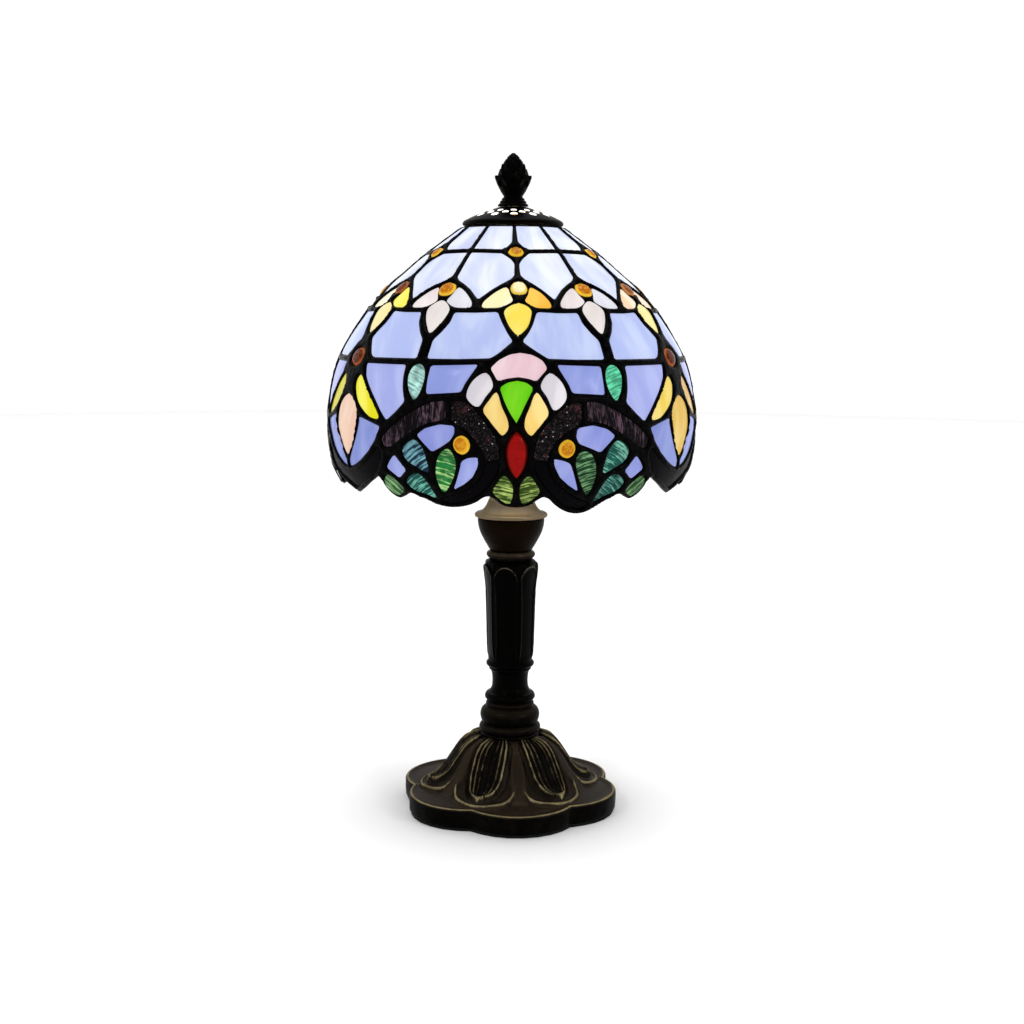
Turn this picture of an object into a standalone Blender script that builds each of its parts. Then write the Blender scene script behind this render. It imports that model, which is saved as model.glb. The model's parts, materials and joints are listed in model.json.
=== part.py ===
"""Stained glass table lamp: cast foot and stem, socket with bulb, harp, leaded glass shade and finial.

Frame: metres, +Z up, origin at the middle of the foot's underside, front of the lamp towards -Y.
All dimensions below are millimetres and degrees; MM turns them into metres.
"""
import math

import bmesh
import bpy
from mathutils import Matrix, Vector

MM = 0.001
GAP = 0.3                      # clearance between touching pieces

# ---------------------------------------------------------------- driving dimensions
FOOT_LOBES = 6
FOOT_TURN = 8.0                # the foot casting is turned this far about the lamp's axis
FOOT_LOBE_CENTRE = 28.5        # distance from the axis to the middle of a lobe
FOOT_LOBE_RADIUS = 34.0
FOOT_REACH = FOOT_LOBE_CENTRE + FOOT_LOBE_RADIUS
FELT_THICK = 1.5
FOOT_TOP = 40.2                # where the urn knob stands
GROMMET_HEIGHT = 6.2

ROD_RADIUS = 4.8
BORE_RADIUS = 5.3              # clearance hole for the rod in every casting
ROD_BOTTOM = 22.0
ROD_TOP = 184.0

KNOB_TOP = 59.9
COLLAR_TOP = 79.5
COLUMN_TOP = 141.8
NECK_TOP = 146.6
CUP_TOP = 165.7
COVER_TOP = 177.5

HARP_HALF_WIDTH = 27.5         # axis of the harp's straight legs
HARP_LEG_BOTTOM = 198.2
HARP_WIRE_RADIUS = 1.6
HARP_TOP = 319.0
FERRULE_BOTTOM = 191.0
FERRULE_LENGTH = 13.0

BULB_CONTACT_BOTTOM = 204.8
CAP_RIM = 326.1
CAP_TOP = 336.3
CAP_HOLE_RINGS = ((14.4, 1.5, 0.0), (17.2, 1.75, 0.5), (20.2, 2.0, 0.0))   # radius, hole radius, stagger
CAP_HOLES_A_RING = 12
FINIAL_TOP = 365.2

SHADE_TURN = 1.5               # the shade's pattern is turned this far about the axis
SHADE_SEAMS = 12
LEAD_THICK = 3.2
LEAD_WIDTH = 3.0
GLASS_SUNK = 0.4               # glass lies this far below the face of the leading
GLASS_THICK = 2.4
SHADE_OUTER = (                # radius, height of the shade's outer face, top to bottom
    (27.3, 325.8), (36.8, 318.7), (48.4, 310.0), (58.4, 301.4), (68.4, 292.7), (76.7, 284.0),
    (82.9, 275.2), (88.7, 266.4), (93.6, 257.7), (97.0, 248.8), (99.2, 240.0), (100.6, 231.2),
    (101.6, 221.0), (101.2, 213.4), (100.5, 204.4), (98.6, 195.4), (94.2, 186.5), (91.0, 182.0),
)
CROWN_ROWS = (324.2, 319.5, 314.0)
UPPER_ROWS = (311.2, 298.0, 284.0, 269.5, 255.0)
SKIRT_ROWS = (252.0, 238.0, 221.0, 204.4)
RIM_HEIGHT = 2.6
HEM = (                        # angle from the arch motif, height of the shade's lower edge
    (0.0, 183.2), (4.5, 184.6), (8.0, 189.0), (12.0, 186.0), (20.5, 182.4), (25.0, 183.4), (33.5, 188.9),
    (39.0, 185.6), (42.0, 188.0), (45.2, 196.2), (52.0, 190.6), (60.0, 185.2),
)
HEM_REPEAT = 120.0
HEM_GAP = 1.1                  # wider than GAP because the hem is cut on a slope
SHADE_STEP = 7.5               # facets of the shade round the axis


# ---------------------------------------------------------------- scene and materials
def clear_scene():
    for obj in list(bpy.data.objects):
        bpy.data.objects.remove(obj, do_unlink=True)


def new_collection(name):
    collection = bpy.data.collections.new(name)
    bpy.context.scene.collection.children.link(collection)
    return collection


def material(name, colour, roughness, metallic):
    mat = bpy.data.materials.new(name)
    mat.use_nodes = True
    shader = mat.node_tree.nodes["Principled BSDF"]
    shader.inputs["Base Color"].default_value = (*colour, 1.0)
    shader.inputs["Roughness"].default_value = roughness
    shader.inputs["Metallic"].default_value = metallic
    return mat


# ---------------------------------------------------------------- building blocks
def add_object(name, mesh, mat):
    obj = bpy.data.objects.new(name, mesh)
    obj.data.materials.append(mat)
    PARTS.objects.link(obj)
    return obj


def add_cutter(name, mesh):
    obj = bpy.data.objects.new(name, mesh)
    obj.hide_render = True
    obj.display_type = "WIRE"
    CUTTERS.objects.link(obj)
    return obj


def smooth(obj):
    obj.data.shade_smooth()
    obj.data.set_sharp_from_angle(angle=math.radians(35.0))


def evaluated_mesh(obj):
    bpy.context.view_layer.update()
    graph = bpy.context.evaluated_depsgraph_get()
    return bpy.data.meshes.new_from_object(obj.evaluated_get(graph))


def bake_modifiers(obj):
    mesh = evaluated_mesh(obj)
    old = obj.data
    obj.modifiers.clear()
    obj.data = mesh
    bpy.data.meshes.remove(old)


def turned(name, outline, mat, segments=24, closed=False):
    """Revolve an outline of (radius, height) points; it runs down the outer side, top to bottom."""
    count = len(outline)
    points = [(radius * MM, 0.0, height * MM) for radius, height in outline]
    edges = [(i, i + 1) for i in range(count - 1)]
    if closed:
        edges.append((count - 1, 0))
    mesh = bpy.data.meshes.new(name)
    mesh.from_pydata(points, edges, [])
    obj = add_object(name, mesh, mat)
    screw = obj.modifiers.new("Revolve", "SCREW")
    screw.steps = segments
    screw.render_steps = segments
    screw.use_merge_vertices = True
    screw.merge_threshold = 0.00001
    bake_modifiers(obj)
    smooth(obj)
    return obj


def ring(name, outline, mat, segments=24):
    return turned(name, outline, mat, segments, closed=True)


def tube(name, outer, inner, low, high, mat, segments=24):
    return ring(name, ((outer, high), (outer, low), (inner, low), (inner, high)), mat, segments)


def cylinder_mesh(name, radius, depth, matrix, segments):
    mesh = bpy.data.meshes.new(name)
    bm = bmesh.new()
    bmesh.ops.create_cone(bm, cap_ends=True, segments=segments, radius1=radius * MM, radius2=radius * MM,
                          depth=depth * MM, matrix=matrix)
    bm.to_mesh(mesh)
    bm.free()
    return mesh


def boolean(obj, cutter, operation):
    step = obj.modifiers.new(operation.title(), "BOOLEAN")
    step.operation = operation
    step.object = cutter
    bake_modifiers(obj)


def place(x, y, z):
    return Matrix.Translation(Vector((x, y, z)) * MM)


# ---------------------------------------------------------------- foot
def lobe_reach(angle):
    """Distance from the axis to the edge of six overlapping discs, at an angle from the front."""
    pitch = 360.0 / FOOT_LOBES
    off = (angle - FOOT_TURN + pitch / 2) % pitch - pitch / 2
    along = FOOT_LOBE_CENTRE * math.cos(math.radians(off))
    across = FOOT_LOBE_CENTRE * math.sin(math.radians(off))
    return along + math.sqrt(FOOT_LOBE_RADIUS ** 2 - across ** 2)


def front_angle(x, y):
    """Angle of a point about the lamp's axis, 0 at the front (-Y), positive towards +X."""
    return math.degrees(math.atan2(x, -y))


def press_lobes(obj, start, full):
    """Pull the rim of a turned plate in to the lobed outline, fading out between two radii."""
    for vert in obj.data.vertices:
        radius = math.hypot(vert.co.x, vert.co.y) / MM
        weight = min(max((radius - start) / (full - start), 0.0), 1.0)
        target = lobe_reach(front_angle(vert.co.x, vert.co.y)) / FOOT_REACH
        scale = 1.0 + weight * (target - 1.0)
        vert.co.x *= scale
        vert.co.y *= scale


def make_felt(mat):
    edge = FOOT_REACH - 1.2
    felt = turned("base_felt", ((0.0, FELT_THICK), (edge, FELT_THICK), (edge, 0.0), (0.0, 0.0)), mat, 48)
    press_lobes(felt, 20.0, 50.0)


def make_foot(mat):
    low = FELT_THICK + GAP
    outline = (
        (18.4, FOOT_TOP), (24.2, 37.4), (29.6, 32.6), (33.2, 27.2), (37.5, 20.4), (43.5, 14.4),
        (FOOT_REACH - 1.2, 11.5), (FOOT_REACH, 10.2), (FOOT_REACH, low),
        (FOOT_REACH - 3.6, low), (FOOT_REACH - 3.6, 8.2), (41.0, 9.0), (33.0, 18.0),
        (25.4, 31.0), (16.0, 36.4), (BORE_RADIUS, 36.4), (BORE_RADIUS, FOOT_TOP),
    )
    foot = ring("base_foot", outline, mat, 48)
    press_lobes(foot, 44.0, 54.0)
    hole = place(0.0, FOOT_REACH - 3.0, GROMMET_HEIGHT) @ Matrix.Rotation(math.radians(90.0), 4, "X")
    boolean(foot, add_cutter("cord_hole", cylinder_mesh("cord_hole", 3.3, 16.0, hole, 12)), "DIFFERENCE")


def make_grommet(mat):
    """Flanged bush in the back of the foot's rim, where the supply cord would leave."""
    back = lobe_reach(180.0)
    grommet = ring("cord_grommet", ((4.2, 1.0), (4.2, 0.0), (3.0, 0.0), (3.0, -5.0), (2.0, -5.0), (2.0, 1.0)),
                   mat, 12)
    grommet.data.transform(place(0.0, back + GAP, GROMMET_HEIGHT) @ Matrix.Rotation(math.radians(-90.0), 4, "X"))


# ---------------------------------------------------------------- stem
def make_stem(bronze, brass, steel):
    tube("threaded_rod", ROD_RADIUS, 3.4, ROD_BOTTOM, ROD_TOP, steel, 16)
    tube("rod_washer", 11.0, BORE_RADIUS, 34.4, 36.1, steel, 16)
    tube("rod_nut", 8.1, 5.95, 28.4, 34.1, steel, 6)

    ring("urn_knob", (
        (13.2, KNOB_TOP), (13.9, 57.6), (16.5, 54.8), (16.9, 52.2), (16.1, 48.2), (15.8, 47.2),
        (17.2, 45.8), (17.2, 43.2), (15.9, 41.6), (15.6, FOOT_TOP + GAP),
        (BORE_RADIUS, FOOT_TOP + GAP), (BORE_RADIUS, KNOB_TOP),
    ), bronze)
    ring("stem_collar", (
        (11.8, COLLAR_TOP), (10.6, 77.4), (10.1, 72.0), (10.7, 67.4), (12.4, 65.2), (14.1, 63.4),
        (14.1, 61.6), (13.1, KNOB_TOP + GAP), (BORE_RADIUS, KNOB_TOP + GAP), (BORE_RADIUS, COLLAR_TOP),
    ), bronze)
    ring("column", (
        (12.0, COLUMN_TOP), (14.5, 139.8), (14.9, 137.2), (14.4, 133.6), (13.6, 118.0), (12.9, 92.0),
        (12.5, 84.4), (13.1, 82.6), (13.1, 80.8), (12.2, COLLAR_TOP + GAP),
        (BORE_RADIUS, COLLAR_TOP + GAP), (BORE_RADIUS, 84.0), (9.4, 88.0), (9.8, 132.0),
        (BORE_RADIUS, 137.0), (BORE_RADIUS, COLUMN_TOP),
    ), bronze)
    ring("neck_ring", (
        (12.2, NECK_TOP), (13.5, 145.5), (13.5, 144.0), (12.0, COLUMN_TOP + GAP),
        (BORE_RADIUS, COLUMN_TOP + GAP), (BORE_RADIUS, NECK_TOP),
    ), bronze)
    ring("socket_cup", (
        (18.4, CUP_TOP), (18.6, 163.2), (17.5, 159.4), (16.9, 157.0), (15.0, 152.0), (12.3, 148.0),
        (11.6, NECK_TOP + GAP), (BORE_RADIUS, NECK_TOP + GAP), (BORE_RADIUS, 150.0), (10.4, 152.4),
        (14.4, 158.0), (16.6, 163.4), (16.8, CUP_TOP),
    ), bronze)
    ring("cup_cover", (
        (10.4, COVER_TOP), (12.2, 176.4), (13.2, 174.4), (14.8, 171.4), (17.4, 168.7), (20.3, 167.5),
        (20.3, CUP_TOP + GAP), (18.6, CUP_TOP + GAP), (16.6, 167.4), (13.6, 170.4), (11.8, 173.4),
        (10.4, 175.2), (BORE_RADIUS, 175.4), (BORE_RADIUS, COVER_TOP),
    ), brass)


# ---------------------------------------------------------------- harp
def make_harp(brass):
    """Saddle bracket, two sliding ferrules, bent wire and the threaded stud at its top."""
    low = COVER_TOP + GAP
    half = HARP_HALF_WIDTH
    strap = 1.5
    side = ((8.0, low + 0.2), (16.0, low + 0.2), (half + 0.75, low + 10.5), (half + 0.75, HARP_LEG_BOTTOM - GAP))
    inner = ((half - 0.75, HARP_LEG_BOTTOM - GAP), (half - 0.75, low + 11.2), (15.4, low + strap))
    right = side + inner
    outline = right + tuple((-x, z) for x, z in reversed(right))
    curve = bpy.data.curves.new("saddle_strap", "CURVE")
    curve.dimensions = "2D"
    curve.fill_mode = "BOTH"
    curve.extrude = 2.2 * MM
    spline = curve.splines.new("POLY")
    spline.points.add(len(outline) - 1)
    for point, (x, z) in zip(spline.points, outline):
        point.co = (x * MM, z * MM, 0.0, 1.0)
    spline.use_cyclic_u = True
    guide = add_cutter("saddle_strap", curve)
    guide.matrix_world = Matrix.Rotation(math.radians(90.0), 4, "X")
    saddle = add_object("harp_saddle", welded_mesh(guide), brass)
    bpy.data.objects.remove(guide)
    plate_thick = strap + 0.4
    plate = cylinder_mesh("saddle_plate", 10.0, plate_thick, place(0.0, 0.0, low + plate_thick / 2), 24)
    boolean(saddle, add_cutter("saddle_plate", plate), "UNION")
    bore = cylinder_mesh("saddle_bore", BORE_RADIUS, 10.0, place(0.0, 0.0, low), 24)
    boolean(saddle, add_cutter("saddle_bore", bore), "DIFFERENCE")

    for side_name, x in (("left", -half), ("right", half)):
        ferrule = tube("harp_ferrule_" + side_name, 3.7, 2.75, FERRULE_BOTTOM, FERRULE_BOTTOM + FERRULE_LENGTH,
                       brass, 16)
        ferrule.data.transform(place(x, 0.0, 0.0))

    route = ((half, HARP_LEG_BOTTOM), (half, 219.0), (half + 4.5, 238.0), (half + 7.0, 262.0),
             (half + 3.0, 288.0), (half - 7.0, 306.0), (9.0, HARP_TOP - 1.5), (0.0, HARP_TOP))
    legs = [(-x, z) for x, z in route] + [(x, z) for x, z in reversed(route[:-1])]
    mesh = tube_along([Vector((x, 0.0, z)) for x, z in legs], HARP_WIRE_RADIUS, "harp_wire")
    smooth(add_object("harp_wire", mesh, brass))

    seat = HARP_TOP + HARP_WIRE_RADIUS + GAP
    turned("harp_stud", (
        (0.0, 346.0), (2.4, 346.0), (3.05, 345.2), (3.05, 332.6), (6.4, 332.6), (6.4, 329.6),
        (3.9, 328.6), (3.9, 324.4), (5.2, 323.0), (5.2, seat), (0.0, seat),
    ), brass, 16)


def welded_mesh(curve_object):
    """The evaluated mesh of a curve, in world space, with its caps welded on."""
    mesh = evaluated_mesh(curve_object)
    bm = bmesh.new()
    bm.from_mesh(mesh)
    bmesh.ops.remove_doubles(bm, verts=bm.verts, dist=0.000001)
    bmesh.ops.recalc_face_normals(bm, faces=bm.faces)
    bm.transform(curve_object.matrix_world)
    bm.to_mesh(mesh)
    bm.free()
    return mesh


def catmull(points, steps):
    """Points along a smooth curve through the given ones."""
    result = []
    ends = [points[0] * 2 - points[1]] + list(points) + [points[-1] * 2 - points[-2]]
    for a, b, c, d in zip(ends, ends[1:], ends[2:], ends[3:]):
        for step in range(steps):
            t = step / steps
            result.append(0.5 * (2 * b + (c - a) * t + (2 * a - 5 * b + 4 * c - d) * t * t
                                 + (3 * b - a - 3 * c + d) * t ** 3))
    result.append(points[-1])
    return result


def tube_along(points, radius, name):
    curve = bpy.data.curves.new(name + "_path", "CURVE")
    curve.dimensions = "3D"
    curve.bevel_depth = radius * MM
    curve.bevel_resolution = 2
    curve.use_fill_caps = True
    spline = curve.splines.new("POLY")
    route = catmull(points, 2)
    spline.points.add(len(route) - 1)
    for point, co in zip(spline.points, route):
        point.co = (*(co * MM), 1.0)
    guide = add_cutter(name + "_path", curve)
    mesh = welded_mesh(guide)
    bpy.data.objects.remove(guide)
    return mesh


# ---------------------------------------------------------------- socket and bulb
def make_socket(brass, paper, ceramic):
    low = COVER_TOP + 1.9 + 2 * GAP
    ring("socket_cap", (
        (16.8, 196.0), (16.8, 190.0), (15.2, 185.6), (10.4, 181.4), (8.2, low),
        (BORE_RADIUS, low), (BORE_RADIUS, 181.4), (8.6, 182.8), (14.0, 187.0), (15.9, 190.4), (15.9, 196.0),
    ), brass)
    ring("socket_shell", (
        (15.7, 232.0), (15.7, 230.6), (15.3, 230.0), (15.3, 190.9), (14.8, 190.9), (14.8, 232.0),
    ), brass)
    tube("socket_liner", 14.5, 13.95, 191.2, 230.8, paper)
    tube("socket_screw_shell", 13.65, 13.15, 202.4, 226.0, brass)
    turned("socket_core", (
        (0.0, 202.0), (12.9, 202.0), (12.9, 193.0), (9.0, 190.6), (0.0, 190.6),
    ), ceramic)
    turned("socket_centre_contact", ((0.0, 204.3), (3.0, 203.6), (4.2, 202.3), (0.0, 202.3)), brass, 16)


def make_bulb(brass, black, glass):
    low = BULB_CONTACT_BOTTOM
    turned("bulb_contact", (
        (0.0, low + 5.2), (8.6, low + 5.2), (8.6, low + 3.8), (4.6, low + 0.8), (2.0, low), (0.0, low),
    ), black, 16)
    ring("bulb_screw_base", (
        (12.9, 234.0), (12.9, 213.0), (9.6, 210.4), (9.0, 210.4), (12.3, 213.4), (12.3, 234.0),
    ), brass)
    ring("bulb_glass", (
        (0.05, 298.0), (9.5, 296.4), (17.6, 291.2), (22.6, 282.8), (24.0, 273.0), (22.6, 263.2),
        (17.8, 251.4), (13.6, 241.4), (11.8, 234.2), (11.8, 214.4), (10.8, 214.4), (10.8, 234.4),
        (12.6, 241.8), (16.8, 251.8), (21.6, 263.6), (23.0, 273.0), (21.6, 282.4), (16.9, 290.4),
        (9.2, 295.4), (0.05, 297.0),
    ), glass)


# ---------------------------------------------------------------- cap, ring and finial
def make_cap(metal, brass):
    cap = ring("heat_cap", (
        (3.5, CAP_TOP), (8.5, CAP_TOP - 0.2), (12.0, 335.0), (22.8, 330.8), (26.2, 329.0), (27.5, 327.4),
        (27.5, CAP_RIM), (26.4, CAP_RIM), (26.4, 327.0), (25.4, 328.0), (22.2, 329.5), (11.6, 333.7),
        (8.3, CAP_TOP - 1.4), (3.5, CAP_TOP - 1.2),
    ), metal, 24)
    holes = bmesh.new()
    for radius, size, stagger in CAP_HOLE_RINGS:
        for index in range(CAP_HOLES_A_RING):
            angle = math.radians((index + stagger) * 360.0 / CAP_HOLES_A_RING + SHADE_TURN)
            middle = place(radius * math.sin(angle), -radius * math.cos(angle), CAP_TOP)
            bmesh.ops.create_cone(holes, cap_ends=True, segments=8, radius1=size * MM, radius2=size * MM,
                                  depth=24.0 * MM, matrix=middle)
    mesh = bpy.data.meshes.new("cap_holes")
    holes.to_mesh(mesh)
    holes.free()
    boolean(cap, add_cutter("cap_holes", mesh), "DIFFERENCE")
    ring("shade_top_ring", ((26.0, 322.4), (26.0, 318.8), (22.8, 318.8), (22.8, 322.4)), brass, 24)
    tube("seat_washer", 9.0, 3.5, 333.0, 334.5, brass, 24)


def make_finial(bronze, brass):
    bottom = CAP_TOP + GAP
    turned("finial", (
        (0.0, FINIAL_TOP), (1.6, 364.6), (3.8, 362.2), (5.9, 359.8), (7.5, 357.2), (9.0, 354.2),
        (10.5, 352.0), (9.4, 350.2), (8.4, 347.0), (6.4, 343.6), (5.5, 341.6), (6.6, 339.8), (8.2, 338.2),
        (8.6, bottom), (4.5, bottom), (4.5, 350.0), (0.0, 350.0),
    ), bronze)
    tube("finial_insert", 4.15, 3.2, bottom + GAP, 349.0, brass, 16)


# ---------------------------------------------------------------- leaded shade
def along(table, value):
    """Straight-line reading of a table of (position, value) pairs."""
    for (x0, y0), (x1, y1) in zip(table, table[1:]):
        if min(x0, x1) <= value <= max(x0, x1):
            return y0 + (y1 - y0) * (value - x0) / (x1 - x0)
    return table[0][1] if abs(value - table[0][0]) < abs(value - table[-1][0]) else table[-1][1]


HEIGHT_TO_RADIUS = tuple((height, radius) for radius, height in SHADE_OUTER)


def hem_height(angle):
    folded = abs((angle + HEM_REPEAT / 2) % HEM_REPEAT - HEM_REPEAT / 2)
    return along(HEM, folded)


def shade_point(angle, height, sunk=0.0):
    """A point on the shade, `sunk` below its outer face; the angle is from the front arch motif."""
    radius = along(HEIGHT_TO_RADIUS, height)
    rise = 1.0
    run = along(HEIGHT_TO_RADIUS, height + rise) - along(HEIGHT_TO_RADIUS, height - rise)
    normal = Vector((2 * rise, -run)).normalized()
    turn = math.radians(angle + SHADE_TURN)
    reach = radius - sunk * normal.x
    level = height - sunk * normal.y
    return Vector((reach * math.sin(turn), -reach * math.cos(turn), level)) * MM


def edge_angle(height, width):
    """The angle that a distance along the shade's surface spans at a height."""
    return math.degrees(width / along(HEIGHT_TO_RADIUS, height))


def surface_grid(name, columns, rows, position, mat, keep, thick):
    """A grid whose cells are placed by `position`, thinned to `keep`, then given its thickness."""
    bm = bmesh.new()
    bmesh.ops.create_grid(bm, x_segments=columns, y_segments=rows, size=0.5)
    for vert in bm.verts:
        column = round((vert.co.x + 0.5) * columns)
        row = round((0.5 - vert.co.y) * rows)
        vert.co = (column, row, 0.0)
    unwanted = []
    for face in bm.faces:
        middle = face.calc_center_median()
        if not keep(math.floor(middle.x), math.floor(middle.y)):
            unwanted.append(face)
    bmesh.ops.delete(bm, geom=unwanted, context="FACES")
    for vert in bm.verts:
        vert.co = position(round(vert.co.x), round(vert.co.y))
    bmesh.ops.remove_doubles(bm, verts=bm.verts, dist=0.00001)
    bmesh.ops.recalc_face_normals(bm, faces=bm.faces)
    outward = sum(face.normal.dot(face.calc_center_median() * Vector((1, 1, 0))) for face in bm.faces)
    if outward < 0:
        bmesh.ops.reverse_faces(bm, faces=bm.faces)
    mesh = bpy.data.meshes.new(name)
    bm.to_mesh(mesh)
    bm.free()
    obj = add_object(name, mesh, mat)
    solid = obj.modifiers.new("Thickness", "SOLIDIFY")
    solid.thickness = thick * MM
    solid.offset = -1.0
    solid.use_even_offset = True
    return obj


def make_panel(name, start, end, heights, mat, hem=False):
    """One curved glass panel between two seams."""
    steps = round((end - start) / SHADE_STEP)
    rows = len(heights) if hem else len(heights) - 1
    inset = LEAD_WIDTH / 2 + GAP * 1.5

    def position(column, row):
        angle = start + column * SHADE_STEP
        if row < len(heights):
            height = heights[row]
            if row == 0:
                height -= GAP * 1.5
            if row == rows:
                height += GAP * 1.5
        else:
            height = hem_height(angle) + RIM_HEIGHT + HEM_GAP
        if column == 0:
            angle += edge_angle(height, inset)
        if column == steps:
            angle -= edge_angle(height, inset)
        return shade_point(angle, height, GLASS_SUNK)

    surface_grid(name, steps, rows, position, mat, lambda column, row: True, GLASS_THICK)


def make_lead_frame(mat):
    """Ribs, rings and rim that hold the panels: one soldered lattice."""
    pitch = 360.0 / SHADE_SEAMS
    inner_steps = round(pitch / SHADE_STEP) - 1
    per_seam = inner_steps + 2
    columns = SHADE_SEAMS * per_seam
    top = CROWN_ROWS[0] + 1.6
    heights = (top,) + CROWN_ROWS + UPPER_ROWS + SKIRT_ROWS
    ring_rows = (0, len(CROWN_ROWS), len(CROWN_ROWS) + len(UPPER_ROWS))
    hem_row = len(heights)

    def position(column, row):
        seam, part = divmod(column, per_seam)
        angle = seam * pitch + max(part - 1, 0) * SHADE_STEP
        if row < hem_row:
            height = heights[row]
        else:
            height = hem_height(angle) + RIM_HEIGHT * (hem_row + 1 - row)
        if part == 0:
            angle -= edge_angle(height, LEAD_WIDTH / 2)
        if part == 1:
            angle += edge_angle(height, LEAD_WIDTH / 2)
        return shade_point(angle, height)

    def keep(column, row):
        seam, part = divmod(column, per_seam)
        in_crown = row < len(CROWN_ROWS)
        on_rib = part == 0 and (in_crown or seam % 2 == 1)
        return row in ring_rows or row == hem_row or on_rib

    surface_grid("shade_lead_frame", columns, hem_row + 1, position, mat, keep, LEAD_THICK)


def make_shade(pale, blue, deep, lead):
    pitch = 360.0 / SHADE_SEAMS
    for index in range(SHADE_SEAMS):
        start = index * pitch
        make_panel(f"crown_pane_{index + 1:02d}", start, start + pitch, CROWN_ROWS, pale)
    for index in range(SHADE_SEAMS // 2):
        start = (2 * index - 1) * pitch
        make_panel(f"upper_panel_{index + 1}", start, start + 2 * pitch, UPPER_ROWS, blue)
        make_panel(f"skirt_panel_{index + 1}", start, start + 2 * pitch, SKIRT_ROWS, deep, hem=True)
    make_lead_frame(lead)


# ---------------------------------------------------------------- build
clear_scene()
PARTS = new_collection("stained_glass_table_lamp")
CUTTERS = new_collection("cutters")

BRONZE = material("dark_bronze", (0.030, 0.024, 0.018), 0.38, 1.0)
BRASS = material("brass", (0.62, 0.47, 0.22), 0.30, 1.0)
STEEL = material("zinc_steel", (0.52, 0.52, 0.50), 0.35, 1.0)
LEAD = material("lead_patina", (0.035, 0.033, 0.034), 0.45, 0.8)
FELT = material("felt", (0.02, 0.05, 0.03), 0.95, 0.0)
RUBBER = material("rubber", (0.015, 0.015, 0.015), 0.70, 0.0)
PAPER = material("paper_liner", (0.45, 0.36, 0.24), 0.85, 0.0)
CERAMIC = material("ceramic", (0.80, 0.78, 0.73), 0.35, 0.0)
BLACK_GLASS = material("black_glass", (0.02, 0.02, 0.03), 0.20, 0.0)
BULB_GLASS = material("frosted_glass", (0.95, 0.93, 0.88), 0.40, 0.0)
PALE_GLASS = material("pale_glass", (0.80, 0.82, 0.95), 0.25, 0.0)
BLUE_GLASS = material("periwinkle_glass", (0.42, 0.48, 0.85), 0.25, 0.0)
DEEP_GLASS = material("deep_blue_glass", (0.22, 0.27, 0.60), 0.25, 0.0)

make_felt(FELT)
make_foot(BRONZE)
make_grommet(RUBBER)
make_stem(BRONZE, BRASS, STEEL)
make_harp(BRASS)
make_socket(BRASS, PAPER, CERAMIC)
make_bulb(BRASS, BLACK_GLASS, BULB_GLASS)
make_cap(BRONZE, BRASS)
make_finial(BRONZE, BRASS)
make_shade(PALE_GLASS, BLUE_GLASS, DEEP_GLASS, LEAD)
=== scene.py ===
"""Looks of the stained glass table lamp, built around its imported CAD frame.

Frame: metres, +Z up, front of the lamp towards -Y. Sizes below are millimetres and degrees.
"""
import json
import math
import random

import bmesh
import bpy
import numpy as np
from mathutils import Matrix, Vector, geometry, kdtree, noise


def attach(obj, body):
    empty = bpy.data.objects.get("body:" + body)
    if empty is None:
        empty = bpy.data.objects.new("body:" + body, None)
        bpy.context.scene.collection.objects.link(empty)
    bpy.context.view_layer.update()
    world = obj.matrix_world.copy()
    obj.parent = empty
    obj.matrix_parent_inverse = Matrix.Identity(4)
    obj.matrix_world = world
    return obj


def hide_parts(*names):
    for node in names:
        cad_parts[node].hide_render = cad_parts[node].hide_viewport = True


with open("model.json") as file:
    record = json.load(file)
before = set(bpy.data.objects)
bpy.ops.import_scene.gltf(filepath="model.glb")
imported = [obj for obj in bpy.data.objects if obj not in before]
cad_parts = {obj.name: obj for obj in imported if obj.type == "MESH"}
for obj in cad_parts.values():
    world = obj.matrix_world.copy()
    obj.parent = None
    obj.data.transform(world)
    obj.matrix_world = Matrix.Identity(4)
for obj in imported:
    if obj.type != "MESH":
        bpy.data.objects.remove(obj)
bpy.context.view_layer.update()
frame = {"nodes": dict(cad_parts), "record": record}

MM = 0.001


def add_to_scene(obj):
    bpy.context.scene.collection.objects.link(obj)


# ================================================================ shade: outline and pattern
SHADE_TURN = 1.5               # the pattern is turned this far about the lamp's axis
SHADE_OUTER = (                # radius, height of the shade's outer face, top to bottom
    (27.3, 325.8), (36.8, 318.7), (48.4, 310.0), (58.4, 301.4), (68.4, 292.7), (76.7, 284.0),
    (82.9, 275.2), (88.7, 266.4), (93.6, 257.7), (97.0, 248.8), (99.2, 240.0), (100.6, 231.2),
    (101.6, 221.0), (101.2, 213.4), (100.5, 204.4), (98.6, 195.4), (94.2, 186.5), (91.0, 182.0),
)
HALF_SECTOR = 60.0             # the pattern is mirrored about 0 and 60 degrees
SECTORS = 6
RIM_TOP = 325.7
HEM = (                        # angle, height of the lower edge over one half sector
    (0.0, 183.2), (2.4, 183.6), (4.6, 185.0), (6.6, 187.6), (8.0, 189.0), (9.6, 188.6), (12.0, 186.0),
    (15.5, 183.6), (20.5, 182.4), (25.0, 183.4), (28.5, 186.0), (31.0, 187.4), (33.5, 188.9), (36.2, 187.0),
    (39.0, 185.6), (41.6, 187.6), (43.3, 191.5), (43.9, 194.5), (45.2, 196.2), (48.0, 193.8), (52.0, 190.6),
    (56.0, 187.6), (60.0, 185.2),
)

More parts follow.
